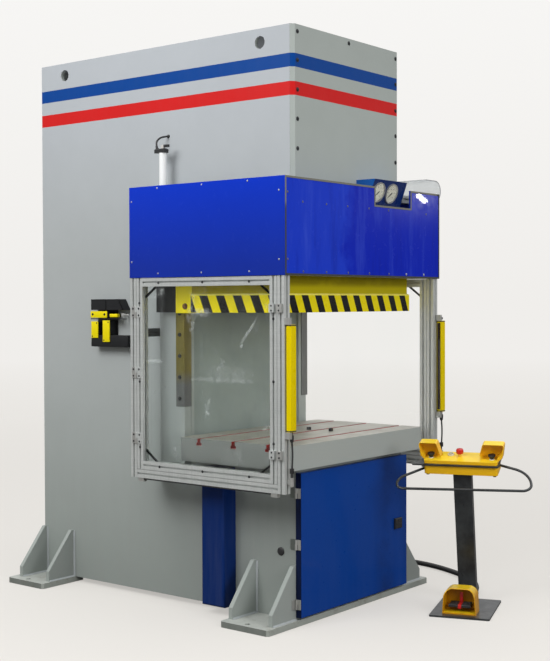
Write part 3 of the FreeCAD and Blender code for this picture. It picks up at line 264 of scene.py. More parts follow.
def enamel(m, colour, rough=0.42, dust=GREY_DUST, dusty=0.35, peel=0.00006, edge=0.0025,
           worn=0.5, chip=CHARCOAL, coat=0.0, fade=0.06, low=0.0, shine=0.2):
    """Brushed or sprayed enamel: slow unevenness, settled dust, orange peel and rubbed edges, and painted
    shade that darkens it towards the floor by the share low.
    """
    edges = m.soft_edges(edge)
    slow = m.noise(1.3, 3, 0.6)
    cloudy = m.noise(9.0, 4, 0.6)
    streaks = m.noise(5.0, 4, 0.65, stretch=(4, 4, 0.35))
    shade = m.math("MULTIPLY_ADD", slow, 2 * fade, 1 - fade)
    shade = m.math("MULTIPLY", shade, m.math("MULTIPLY_ADD", cloudy, fade, 1 - fade / 2))
    # painted shade: darker towards the floor by the share low
    shade = m.math("MULTIPLY", shade, m.span(m.z, 0.1, 1.3, 1 - low, 1.0))
    tint = m.tree.nodes.new("ShaderNodeVectorMath")
    tint.operation = "SCALE"
    m.put(tint.inputs[0], colour if isinstance(colour, bpy.types.NodeSocket) else colour[:3])
    m.put(tint.inputs["Scale"], shade)
    settled = m.math("MULTIPLY", m.span(streaks, 0.42, 0.78), m.span(m.z, 1.1, 0.0, 0.04, 1.0))
    base = m.mix(m.math("MULTIPLY", settled, dusty), tint.outputs[0], dust)
    chips = m.math("MULTIPLY", edges, m.span(m.noise(70.0, 4, 0.7), 0.56, 0.66))
    base = m.mix(m.math("MULTIPLY", chips, worn), base, chip)
    rubbed = m.span(m.noise(22.0, 5, 0.7), 0.3, 0.8, -0.08, 0.10)
    m.set(Base_Color=base, Roughness=m.math("ADD", rubbed, rough), Coat_Weight=coat,
          Coat_Roughness=0.08, Specular_IOR_Level=shine)
    return m.bump(m.noise(420.0, 2, 0.5), peel).bump(m.noise(26.0, 2, 0.5), peel * 2.5)


def frame_grey(m):
    """The frame's grey: lighter and bluer high up as painted light from above, greener near the floor, and
    a shade darker and greener on the front faces as painted shade.
    """
    colour = m.mix(m.span(m.z, 0.2, 1.5), GREY_LOW, GREY)
    # painted light: lighter and bluer high up
    colour = m.mix(m.span(m.z, 1.9, 2.8), colour, GREY_HIGH_LIT)
    # painted shade: the front faces a shade darker
    return m.mix(m.math("LESS_THAN", m.facing("Y"), -0.5), colour, GREY_FRONT_SHADED)


@finish("grey_enamel")
def grey_enamel(m):
    return enamel(m, frame_grey(m), low=0.24, shine=0.3)


@finish("throat_enamel")
def throat_enamel(m):
    """The plate behind the table, darker and greener than the frame as painted shade inside the throat,
    and duller with oil mist.
    """
    # painted shade: both greens are darker than the frame's grey
    mist = m.span(m.noise(2.6, 5, 0.7), 0.3, 0.7)
    return enamel(m, m.mix(mist, paint(140, 151, 147), paint(156, 166, 162)), shine=0.15)


@finish("foot_enamel")
def foot_enamel(m):
    """Foot plates: paler trodden tops, darker scuffed edges and brown marks by the welds."""
    side = m.span(m.math("ABSOLUTE", m.facing("Z")), 0.7, 0.3)
    edge = m.mix(m.math("LESS_THAN", m.facing("Y"), -0.5), paint(122, 127, 121), paint(166, 171, 164))
    colour = m.mix(side, paint(188, 192, 186), edge)
    brown = m.span(m.noise(13.0, 5, 0.7), 0.55, 0.72, 0.0, 0.5)
    colour = m.mix(brown, colour, paint(118, 106, 88))
    return enamel(m, colour, low=0.1, worn=0.8, chip=paint(84, 72, 60), edge=0.004)


@finish("striped_grey_enamel")
def striped_enamel(m):
    """Grey enamel with a blue and a red stripe round the head, with painted shade low at the front under
    the guard and towards the floor.
    """
    ragged = m.math("MULTIPLY_ADD", m.noise(60.0, 3), 0.0012, m.z)
    colour = m.mix(m.inside(ragged, 2.8806, 2.9506), frame_grey(m), STRIPE_BLUE)
    colour = m.mix(m.inside(ragged, 2.7356, 2.8066), colour, STRIPE_RED)
    # painted shade: darker low down near the front, under the guard
    guard_shade = m.math("MULTIPLY", m.span(m.y, 1.2, 0.35), m.span(m.z, 0.95, 0.6))
    guard_shade = m.math("MULTIPLY", guard_shade, m.span(m.z, 0.1, 0.6, 0.15, 1.0))
    colour = m.mix(m.math("MULTIPLY", guard_shade, 0.42), colour, paint(66, 69, 64))
    return enamel(m, colour, low=0.28, shine=0.15)


@finish("panel_blue")
def panel_blue(m):
    """Glossy blue sheet that shows soft, slightly wavy reflections, darker low down; on the front face
    upright wiping streaks, lighter and darker, also paint reflections.
    """
    deep = m.mix(m.span(m.z, 1.85, 2.3), paint(24, 48, 154), PANEL_BLUE)
    wiped = m.noise(8.0, 5, 0.7, stretch=(1, 1, 0.12))
    front = m.math("LESS_THAN", m.facing("Y"), -0.5)
    ragged = m.math("MULTIPLY_ADD", m.noise(3.0, 4, 0.6), 0.5, m.x)
    deep = m.mix(front, deep, m.mix(m.span(ragged, 0.04, 0.14), paint(22, 56, 196), paint(0, 32, 178)))
    # upright wiping streaks on the front, lighter and darker, which also paint reflections
    deep = m.mix(m.math("MULTIPLY", front, m.span(wiped, 0.52, 0.68, 0.0, 0.3)), deep,
                 paint(70, 96, 214))
    deep = m.mix(m.math("MULTIPLY", front, m.span(wiped, 0.46, 0.34, 0.0, 0.35)), deep,
                 paint(0, 20, 140))
    enamel(m, deep, rough=0.24, dusty=0.02, peel=0.00002, worn=0.15, coat=0.14, fade=0.07,
           shine=0.05)
    m.set(Coat_Roughness=0.03, Coat_IOR=1.35)
    return m.bump(m.noise(2.2, 2, 0.4, stretch=(1, 1, 0.4)), 0.0014)


@finish("door_blue")
def door_blue(m):
    """Door paint, mottled, smudged dark beside the latch, and darker as painted shade on the face along
    its hinge edge.
    """
    mottle = m.mix(m.noise(150.0, 3, 0.7), paint(2, 52, 124), paint(10, 68, 160))
    smudge = m.math("MULTIPLY", m.inside(m.x, 0.22, 0.34, soft=0.07),
                    m.span(m.noise(4.5, 4, 0.6), 0.35, 0.65, 0.1, 0.55))
    colour = m.mix(smudge, m.mix(0.5, DOOR_BLUE, mottle), paint(4, 22, 66))
    # painted shade: the face towards the hinge edge is darker
    colour = m.mix(m.math("LESS_THAN", m.facing("X"), -0.5), colour, paint(4, 20, 58))
    return enamel(m, colour, rough=0.34, dusty=0.02, coat=0.1, shine=0.12, low=0.05)


# painted shade: the duct's blue is the base door's paint, darkened
@finish("duct_blue_shaded")
def duct_blue_shaded(m):
    return enamel(m, DUCT_BLUE_SHADED, rough=0.36, dusty=0.08, shine=0.12)


@finish("gauge_blue")
def gauge_blue(m):
    """Bright blue box whose sloping front is dark navy."""
    front = m.span(m.facing("Y"), -0.75, -0.85)
    colour = m.mix(front, paint(18, 96, 182), paint(12, 40, 98))
    return enamel(m, colour, rough=0.3, dusty=0.04, coat=0.25)


@finish("yellow_enamel")
def yellow_enamel(m):
    return enamel(m, YELLOW, rough=0.32, dusty=0.1, dust=paint(150, 130, 40), coat=0.15)


@finish("curtain_yellow")
def curtain_yellow(m):
    return enamel(m, paint(226, 202, 0), rough=0.3, dusty=0.05, dust=paint(150, 130, 10),
                  shine=0.1)


@finish("stand_yellow")
def stand_yellow(m):
    """Orange yellow enamel, lighter and more lemon where it faces up as painted light."""
    # painted light: lighter yellow on the faces that face up
    colour = m.mix(m.span(m.facing("Z"), 0.6, 0.95), STAND_YELLOW, paint(255, 218, 44))
    return enamel(m, colour, rough=0.34, dusty=0.12, dust=paint(140, 104, 40), coat=0.2)


@finish("pedal_yellow")
def pedal_yellow(m):
    """Orange yellow, lighter and more lemon where it faces up as painted light, and streaked with brown
    dust.
    """
    # painted light: lighter yellow on the faces that face up
    colour = m.mix(m.span(m.facing("Z"), 0.3, 0.9), paint(206, 146, 14), paint(230, 192, 22))
    return enamel(m, colour, rough=0.36, dusty=0.4, dust=paint(96, 70, 34), coat=0.1)


@finish("ram_yellow")
def ram_yellow(m):
    """Olive yellow, darker and browner towards the top as painted shade under the hood."""
    side = m.math("GREATER_THAN", m.math("ABSOLUTE", m.facing("X")), 0.5)
    height = m.math("MULTIPLY_ADD", side, 0.036, m.z)
    # painted shade under the hood: darker towards the top, starting lower on the side faces
    hood_shade = m.math("MULTIPLY", m.span(height, 1.748, 1.772), m.span(m.noise(5.0, 4, 0.6), 0.2, 0.5))
    colour = m.mix(m.math("MULTIPLY", hood_shade, 0.42), paint(190, 176, 10), paint(82, 62, 8))
    return enamel(m, colour, rough=0.4, dusty=0.1, dust=paint(120, 104, 20), shine=0.1)


@finish("transducer_tube")
def transducer_tube(m):
    """White tube under a dark head that holds a whitish plug."""
    head = m.span(m.z, 2.4925, 2.4932)
    plug = m.math("MULTIPLY", m.span(m.z, 2.5165, 2.5172), m.inside(m.y, 0.832, 0.857))
    colour = m.mix(head, paint(240, 242, 242), paint(48, 49, 50))
    colour = m.mix(plug, colour, paint(196, 194, 190))
    return enamel(m, colour, rough=0.34, dusty=0.1, coat=0.2)


@finish("chevrons")
def chevrons(m):
    """Yellow and black slanting bars on the skirt's front and side faces; the bevel and the strip above
    the bars are lighter yellow as a painted highlight.
    """
    lean, period = 0.42, 0.117
    along_front = m.math("MULTIPLY_ADD", m.z, lean, m.x)
    along_side = m.math("MULTIPLY_ADD", m.z, lean, m.math("MULTIPLY", m.y, -1.0))
    along_right = m.math("MULTIPLY_ADD", m.z, lean, m.y)
    side = m.math("GREATER_THAN", m.math("ABSOLUTE", m.facing("X")), 0.9)
    left = m.math("LESS_THAN", m.x, 0.0)

    def pick(test, yes, no):
        kept = m.math("MULTIPLY", test, yes)
        rest = m.math("MULTIPLY", m.math("SUBTRACT", 1.0, test), no)
        return m.math("ADD", kept, rest)

    place = pick(side, pick(left, along_side, along_right), along_front)
    turn = m.math("FRACT", m.math("DIVIDE", m.math("ADD", place, 10.0), period))
    black = m.inside(turn, 0.02, 0.52, soft=0.006)
    upright = m.math("LESS_THAN", m.math("ABSOLUTE", m.facing("Z")), 0.3)
    black = m.math("MULTIPLY", black, upright)
    black = m.math("MULTIPLY", black, m.span(m.z, 1.7078, 1.7068))
    # painted highlight: the bevel and the strip above the bars are lighter yellow
    yellow_with_highlight = m.mix(m.math("MULTIPLY", upright, m.span(m.z, 1.708, 1.707)), paint(255, 244, 110),
                  YELLOW)
    return enamel(m, m.mix(black, yellow_with_highlight, STRIPE_BLACK), rough=0.3, dusty=0.05, coat=0.15,
                  shine=0.1)


@finish("black_enamel")
def black_enamel(m):
    return enamel(m, NEAR_BLACK, rough=0.45, dusty=0.35, dust=paint(120, 118, 112),
                  chip=paint(120, 120, 118))


@finish("shiny_black")
def shiny_black(m):
    """Glossy dark grey enamel of the floor stand and its guard tube, greyer where it is rubbed."""
    cloudy = m.noise(9.0, 5, 0.7)
    colour = m.mix(m.span(cloudy, 0.35, 0.7), paint(34, 36, 38), paint(60, 63, 64))
    enamel(m, colour, rough=0.34, dusty=0.1, dust=paint(140, 142, 140), chip=paint(140, 142, 142),
           coat=0.2, shine=0.35)
    return m.set(Coat_Roughness=0.2)


@finish("charcoal_trim")
def charcoal_trim(m):
    m.soft_edges(0.001)
    pale = m.math("MULTIPLY", m.span(m.z, 2.14, 2.17), m.span(m.x, 0.71, 0.7))
    shade = m.mix(m.noise(40.0, 4, 0.6), paint(40, 42, 40), paint(64, 66, 61))
    shade = m.mix(pale, shade, paint(116, 115, 106))
    m.set(Base_Color=shade, Roughness=m.span(m.noise(90.0), 0.3, 0.7, 0.45, 0.7))
    return m.bump(m.noise(900.0, 2), 0.0001)


@finish("anodised_profile")
def anodised(m):
    """Extruded aluminium: drawn lines, a soft satin sheen and a few rubs, with painted light on the inner
    faces of the right posts, painted shade on one bracket band, and dark corner braces.
    """
    edges = m.soft_edges(0.0012)
    lines = m.math("ADD", m.noise(260.0, 3, 0.5, stretch=(1, 1, 0.03)),
                   m.noise(260.0, 3, 0.5, stretch=(1, 0.03, 1)))
    tone = m.span(m.math("ADD", lines, m.noise(12.0, 4, 0.6)), 1.1, 1.9)
    base = m.mix(tone, paint(186, 190, 188), paint(212, 215, 213))
    base = m.mix(m.math("MULTIPLY", edges, 0.5), base, paint(234, 235, 233))
    # painted light: the inner faces of the right-hand posts, which face left, are lighter
    inner = m.math("MULTIPLY", m.math("LESS_THAN", m.facing("X"), -0.5), m.span(m.x, 0.6, 0.62))
    base = m.mix(m.math("MULTIPLY", inner, 0.75), base, paint(242, 244, 243))
    corner_z = m.math("ADD", m.inside(m.z, 0.8098, 0.8715), m.inside(m.z, 1.6955, 1.7572))
    corner_y = m.math("ADD", m.inside(m.y, -0.0262, 0.0575), m.inside(m.y, 0.7725, 0.8562))
    brace = m.math("MULTIPLY", corner_z, corner_y)
    # painted shade: the bracket's band is darker, like the dark corner braces
    bracket_shade = m.math("MULTIPLY", m.inside(m.z, 1.482, 1.529),
                     m.math("LESS_THAN", m.math("ABSOLUTE", m.x), 0.6835))
    braces_and_shade = m.math("MAXIMUM", brace, bracket_shade)
    base = m.mix(braces_and_shade, base, paint(72, 74, 76))
    m.set(Base_Color=base, Metallic=0.4, Roughness=m.span(tone, 0, 1, 0.42, 0.3))
    return m.bump(lines, 0.00004)


@finish("plated_steel")
def plated(m):
    edges = m.soft_edges(0.0008)
    cloudy = m.noise(55.0, 5, 0.65)
    base = m.mix(cloudy, paint(176, 176, 172), PLATED)
    base = m.mix(m.math("MULTIPLY", edges, 0.4), base, paint(235, 235, 232))
    m.set(Base_Color=base, Metallic=0.7, Roughness=m.span(cloudy, 0.3, 0.7, 0.28, 0.45))
    return m.bump(m.noise(600.0, 2), 0.00003)


@finish("fittings")
def fittings(m):
    """Plated catches and hinges; the base door's leaves on the side plate are painted over."""
    plated.bare(m)
    base = m.shader.inputs["Base Color"].links[0].from_socket
    over = m.math("MULTIPLY", m.math("LESS_THAN", m.z, 0.72), m.span(m.y, -0.017, -0.015))
    over = m.math("MULTIPLY", over, m.math("LESS_THAN", m.y, 0.1))
    return m.set(Base_Color=m.mix(over, base, paint(118, 124, 119)))


@finish("machined_steel")
def machined(m):
    edges = m.soft_edges(0.001)
    lines = m.noise(420.0, 3, 0.5, stretch=(1, 1, 0.06))
    stain = m.noise(18.0, 4, 0.7)
    base = m.mix(lines, paint(132, 134, 136), STEEL)
    base = m.mix(m.span(stain, 0.55, 0.85, 0, 0.5), base, RUST_BROWN)
    base = m.mix(m.math("MULTIPLY", edges, 0.5), base, paint(215, 216, 216))
    m.set(Base_Color=base, Metallic=0.85, Roughness=m.span(stain, 0.3, 0.8, 0.3, 0.5))
    return m.bump(lines, 0.00005)


@finish("olive_topped_rail")
def olive_topped_rail(m):
    """Guide rail: olive brown above on the left rail, bare dark steel below."""
    high = m.math("MULTIPLY", m.span(m.z, 1.22, 1.30), m.span(m.x, 0.1, -0.1))
    lines = m.noise(300.0, 3, 0.5, stretch=(1, 1, 0.04))
    smear = m.noise(16.0, 5, 0.7, stretch=(1, 1, 0.4))
    bare = m.mix(lines, paint(84, 86, 86), paint(122, 124, 122))
    olive = m.mix(smear, paint(96, 88, 40), paint(150, 136, 62))
    m.soft_edges(0.001)
    m.set(Base_Color=m.mix(high, bare, olive), Metallic=0.3,
          Roughness=m.span(smear, 0.3, 0.7, 0.25, 0.5))
    return m.bump(smear, 0.0002)


@finish("chromed_rod")
def chromed(m):
    haze = m.noise(40.0, 4, 0.6, stretch=(1, 1, 0.1))
    m.set(Base_Color=m.mix(haze, paint(188, 190, 193), paint(214, 216, 218)), Metallic=1.0,
          Roughness=m.span(haze, 0.3, 0.7, 0.08, 0.2))
    return m.bump(m.noise(500.0, 2, stretch=(1, 1, 0.05)), 0.00001)


@finish("work_table")
def work_table(m):
    """Ground top with crossing tool marks, red paint in the slots, painted grey sides, the left side
    darker as painted shade and the front lighter as painted light.
    """
    edges = m.soft_edges(0.0015)
    up = m.math("MULTIPLY", m.span(m.facing("Z"), 0.5, 0.9), m.span(m.z, 0.9415, 0.9425))
    marks = m.math("ADD", m.noise(300.0, 2, 0.5, stretch=(0.02, 1, 1)),
                   m.noise(120.0, 3, 0.6, stretch=(1, 0.05, 1)))
    wear = m.noise(4.5, 5, 0.65)
    top = m.mix(m.span(marks, 0.7, 1.3), paint(168, 166, 158), TABLE_FACE)
    top = m.mix(m.span(wear, 0.5, 0.75, 0, 0.45), top, paint(150, 146, 136))
    nearest = 1.0
    for slot_y in SLOT_Y:
        away = m.math("ABSOLUTE", m.math("SUBTRACT", m.y, slot_y / 1000))
        nearest = m.math("MINIMUM", away, nearest)
    stain = m.math("MULTIPLY", m.span(nearest, 0.045, 0.011), m.span(m.noise(11.0, 5, 0.7), 0.4, 0.66))
    top = m.mix(m.math("MULTIPLY", stain, 0.6), top, paint(142, 96, 84))
    side = m.mix(m.noise(14.0, 4, 0.6), TABLE_SIDE, paint(148, 151, 148))
    # painted shade on the face towards the left, painted light on the front face
    side = m.mix(m.math("LESS_THAN", m.facing("X"), -0.5), side, paint(128, 131, 129))
    side = m.mix(m.math("LESS_THAN", m.facing("Y"), -0.5), side, paint(162, 168, 165))
    colour = m.mix(up, side, top)
    for slot_y in SLOT_Y:
        near = m.math("LESS_THAN", m.math("ABSOLUTE", m.math("SUBTRACT", m.y, slot_y / 1000)),
                      0.0187)
        below = m.math("LESS_THAN", m.z, 0.9418)
        deep = m.math("GREATER_THAN", m.z, 0.904)
        inner = m.math("LESS_THAN", m.math("ABSOLUTE", m.facing("X")), 0.5)
        slot = m.math("MULTIPLY", m.math("MULTIPLY", near, below), m.math("MULTIPLY", deep, inner))
        red = m.mix(m.noise(30.0, 4), SLOT_RED, paint(142, 40, 36))
        colour = m.mix(slot, colour, red)
    colour = m.mix(m.math("MULTIPLY", edges, m.span(m.noise(50.0), 0.4, 0.6, 0.1, 0.6)), colour,
                   paint(206, 206, 202))
    m.set(Base_Color=colour, Metallic=m.math("MULTIPLY", up, 0.35),
          Roughness=m.span(wear, 0.3, 0.75, 0.3, 0.5), Specular_IOR_Level=0.4)
    return m.bump(marks, 0.00006).bump(m.noise(300.0, 2), 0.00004)


@finish("clean_pane")
def clean_pane(m):
    """Clear sheet with hardly a mark."""
    wiped = m.noise(3.2, 4, 0.6, stretch=(1, 1.4, 0.5))
    m.set(Base_Color=m.mix(wiped, paint(255, 255, 255), paint(251, 253, 252)), IOR=1.1,
          Roughness=m.span(wiped, 0.35, 0.75, 0.0, 0.008), Transmission_Weight=1.0)
    return m.bump(m.noise(1.4, 2, 0.4), 0.0003)


@finish("clear_pane")
def clear_pane(m):
    """Clear sheet with whitish upright streaks and marks that paint both wiping smears and reflections,
    with one painted glint.
    """
    wiped = m.noise(3.2, 4, 0.6, stretch=(1, 1.4, 0.5))
    m.set(Base_Color=paint(243, 246, 245), Roughness=m.span(wiped, 0.35, 0.75, 0.0, 0.01),
          IOR=1.22, Transmission_Weight=1.0, Specular_IOR_Level=0.5)
    streaks = m.span(m.noise(5.0, 4, 0.7, stretch=(1, 1.6, 0.22)), 0.5, 0.75, 0.0, 0.04)
    smears_and_reflections = m.span(m.noise(6.5, 6, 0.8, stretch=(1, 1, 0.7)), 0.6, 0.72, 0.0, 0.3)
    # whitish marks that paint both smears and reflections: a slanting wipe, a cloudy patch, a painted
    # glint and two level bands
    marks = m.math("MULTIPLY", m.inside(m.math("MULTIPLY_ADD", m.y, 1.24, m.z), 1.672, 1.69, soft=0.01),
                   m.inside(m.z, 1.47, 1.58, soft=0.04))
    for y, z, wide, tall, much in ((0.44, 1.618, 0.07, 0.026, 0.8), (0.174, 1.446, 0.008, 0.01, 2.5),
                                   (0.79, 1.355, 0.09, 0.012, 0.7), (0.31, 1.268, 0.26, 0.014, 0.45),
                                   (0.26, 1.30, 0.18, 0.05, 0.3)):
        across = m.math("MULTIPLY", m.math("ABSOLUTE", m.math("SUBTRACT", m.y, y)), 1 / wide)
        up = m.math("MULTIPLY", m.math("ABSOLUTE", m.math("SUBTRACT", m.z, z)), 1 / tall)
        spot = m.math("MULTIPLY", m.span(across, 1.0, 0.4), m.span(up, 1.0, 0.3))
        marks = m.math("MULTIPLY_ADD", spot, much, marks)
    broken = m.span(m.noise(38.0, 5, 0.75, stretch=(1, 1, 0.6)), 0.38, 0.66, 0.05, 0.42)
    smears_and_reflections = m.math("ADD", smears_and_reflections, m.math("MULTIPLY", marks, broken))
    # the whitish diffuse layer paints smears and reflections
    haze = m.tree.nodes.new("ShaderNodeBsdfDiffuse")
    haze.inputs["Color"].default_value = paint(214, 220, 220)
    mixer = m.tree.nodes.new("ShaderNodeMixShader")
    m.put(mixer.inputs[0], m.math("ADD", streaks, smears_and_reflections))
    m.tree.links.new(m.shader.outputs[0], mixer.inputs[1])
    m.tree.links.new(haze.outputs[0], mixer.inputs[2])
    m.tree.links.new(mixer.outputs[0], m.out.inputs[0])
    return m.bump(m.noise(1.4, 2, 0.4), 0.0003)


@finish("cover_sheet")
def cover_sheet(m):
    """Bent plastic sheet, cloudy and whitish in patches."""
    cloudy = m.noise(4.0, 3, 0.6)
    m.set(Base_Color=paint(240, 242, 242), Roughness=m.span(cloudy, 0.3, 0.7, 0.02, 0.07),
          IOR=1.35, Transmission_Weight=1.0)
    haze = m.tree.nodes.new("ShaderNodeBsdfTranslucent")
    haze.inputs["Color"].default_value = paint(226, 230, 232)
    mixer = m.tree.nodes.new("ShaderNodeMixShader")
    m.put(mixer.inputs[0], m.span(cloudy, 0.3, 0.7, 0.35, 0.5))
    m.tree.links.new(m.shader.outputs[0], mixer.inputs[1])
    m.tree.links.new(haze.outputs[0], mixer.inputs[2])
    m.tree.links.new(mixer.outputs[0], m.out.inputs[0])
    return m.bump(m.noise(6.0, 2), 0.0005)


@finish("black_plastic")
def black_plastic(m):
    grain = m.noise(1400.0, 2)
    m.soft_edges(0.0015)
    m.set(Base_Color=m.mix(m.noise(30.0, 4), paint(24, 24, 25), paint(44, 44, 46)),
          Roughness=m.span(grain, 0.3, 0.7, 0.42, 0.6))
    return m.bump(grain, 0.00008)


@finish("red_plastic")
def red_plastic(m):
    m.soft_edges(0.0015)
    worn = m.noise(60.0, 4)
    m.set(Base_Color=m.mix(worn, SAFETY_RED, paint(172, 20, 20)),
          Roughness=m.span(worn, 0.3, 0.7, 0.25, 0.42), Coat_Weight=0.2)
    return m.bump(m.noise(700.0, 2), 0.00004)


@finish("pale_plastic")
def pale_plastic(m):
    m.soft_edges(0.001)
    m.set(Base_Color=m.mix(m.noise(50.0, 4), paint(226, 224, 214), paint(200, 198, 188)),
          Roughness=m.span(m.noise(90.0), 0.3, 0.7, 0.35, 0.5))
    return m.bump(m.noise(900.0, 2), 0.00004)


@finish("stop_stem")
def stop_stem(m):
    m.soft_edges(0.001)
    m.set(Base_Color=m.mix(m.noise(50.0, 4), paint(240, 208, 96), paint(226, 190, 70)),
          Roughness=m.span(m.noise(90.0), 0.3, 0.7, 0.35, 0.5))
    return m.bump(m.noise(900.0, 2), 0.00004)


@finish("sheath")
def sheath(m):
    """Ribbed flexible conduit: fine rings along its length."""
    split = m.tree.nodes.new("ShaderNodeSeparateXYZ")
    m.tree.links.new(m.uv, split.inputs[0])
    rings = m.math("SINE", m.math("MULTIPLY", split.outputs[0], 2 * math.pi * 420))
    dusty = m.span(m.facing("Z"), 0.1, 1.0, 0.0, 0.5)
    dusty = m.math("MULTIPLY", dusty, m.noise(30.0, 4))
    m.set(Base_Color=m.mix(dusty, paint(36, 36, 38), paint(110, 108, 104)),
          Roughness=m.span(m.noise(80.0), 0.3, 0.7, 0.45, 0.65))
    return m.bump(rings, 0.0006)


@finish("cable_jacket")
def cable_jacket(m):
    dull = m.noise(200.0, 3)
    m.set(Base_Color=m.mix(dull, paint(26, 26, 27), paint(52, 52, 54)),
          Roughness=m.span(dull, 0.3, 0.7, 0.4, 0.6))
    return m.bump(dull, 0.0001)


@finish("dial_face")
def dial_face(m):
    m.set(Base_Color=m.mix(m.noise(60.0, 3), CREAM, paint(222, 218, 200)),
          Roughness=m.span(m.noise(90.0), 0.3, 0.7, 0.4, 0.55))
    return m.bump(m.noise(900.0, 2), 0.00002)


@finish("dial_ink")
def dial_ink(m):
    m.set(Base_Color=m.mix(m.noise(200.0), paint(22, 22, 24), paint(44, 44, 48)),
          Roughness=m.span(m.noise(300.0), 0.3, 0.7, 0.5, 0.6))
    return m.bump(m.noise(900.0, 2), 0.00002)


@finish("lens_glass")
def lens_glass(m):
    wiped = m.noise(40.0, 3)
    m.set(Base_Color=paint(245, 247, 247), Roughness=m.span(wiped, 0.3, 0.7, 0.0, 0.03), IOR=1.45,
          Transmission_Weight=1.0)
    return m.bump(wiped, 0.00002)


@finish("sensor_window")
def sensor_window(m):
    streak = m.noise(60.0, 3, stretch=(1, 1, 0.1))
    m.set(Base_Color=m.mix(streak, paint(20, 12, 14), paint(40, 20, 22)),
          Roughness=m.span(streak, 0.3, 0.7, 0.06, 0.16), Coat_Weight=0.5)
    return m.bump(m.noise(30.0, 2), 0.0002)


@finish("weld_metal")
def weld_metal(m):
    return enamel(m, paint(172, 178, 180), rough=0.45, peel=0.0001, worn=0.2)


@finish("motor_blue")
def motor_blue(m):
    return enamel(m, paint(60, 84, 120), rough=0.45, dusty=0.5)


SLOT_FINISHES = {
    striped_enamel: ["side_plate_left", "side_plate_right", "head_cover", "back_plate"],
    throat_enamel: ["throat_plate"],
    grey_enamel: ["top_plate", "head_floor", "base_plates", "foot_gussets"],
    foot_enamel: ["foot_plates"],
    transducer_tube: ["stroke_transducer"],
    panel_blue: ["hood_front_panel", "hood_side_panels"],
    gauge_blue: ["gauge_box"],
    door_blue: ["base_door", "oil_tank"],
    duct_blue_shaded: ["side_duct"],
    yellow_enamel: ["guide_shoes", "station_switches"],
    curtain_yellow: ["light_curtains"],
    stand_yellow: ["control_box", "control_lid"],
    pedal_yellow: ["pedal_hood"],
    ram_yellow: ["ram"],
    chevrons: ["ram_skirt"],
    black_enamel: ["switch_station", "transducer_arm", "gauge_needle_left",
                   "gauge_needle_right", "conduit_glands"],
    shiny_black: ["control_stand", "guard_rail"],
    anodised: ["enclosure_posts", "enclosure_rails", "left_door_frame", "right_door_frame"],
    plated: ["curtain_clamps", "gauge_cases", "start_button", "base_door_hinges"],
    fittings: ["fixed_fittings"],
    machined: ["valve_block", "pressure_pipe"],
    olive_topped_rail: ["guide_rails"],
    chromed: ["piston_rod"],
    work_table: ["table"],
    clear_pane: ["left_door_pane"],
    clean_pane: ["right_door_pane"],
    cover_sheet: ["clear_side_cover"],
    black_plastic: ["palm_button_left", "palm_button_right", "base_door_latch", "table_studs",
                    "foot_treadle"],
    red_plastic: ["emergency_stop"],
    motor_blue: ["pump_motor", "main_cylinder"],
    sheath: ["control_conduit"],
    cable_jacket: ["curtain_cables"],
}


def dress(node, material):
    slots = frame["nodes"][node].material_slots
    if not slots:
        frame["nodes"][node].data.materials.append(material)
    for slot in slots:
        slot.material = material


for get_material, names in SLOT_FINISHES.items():
    for node_name in names:
        dress(node_name, get_material())


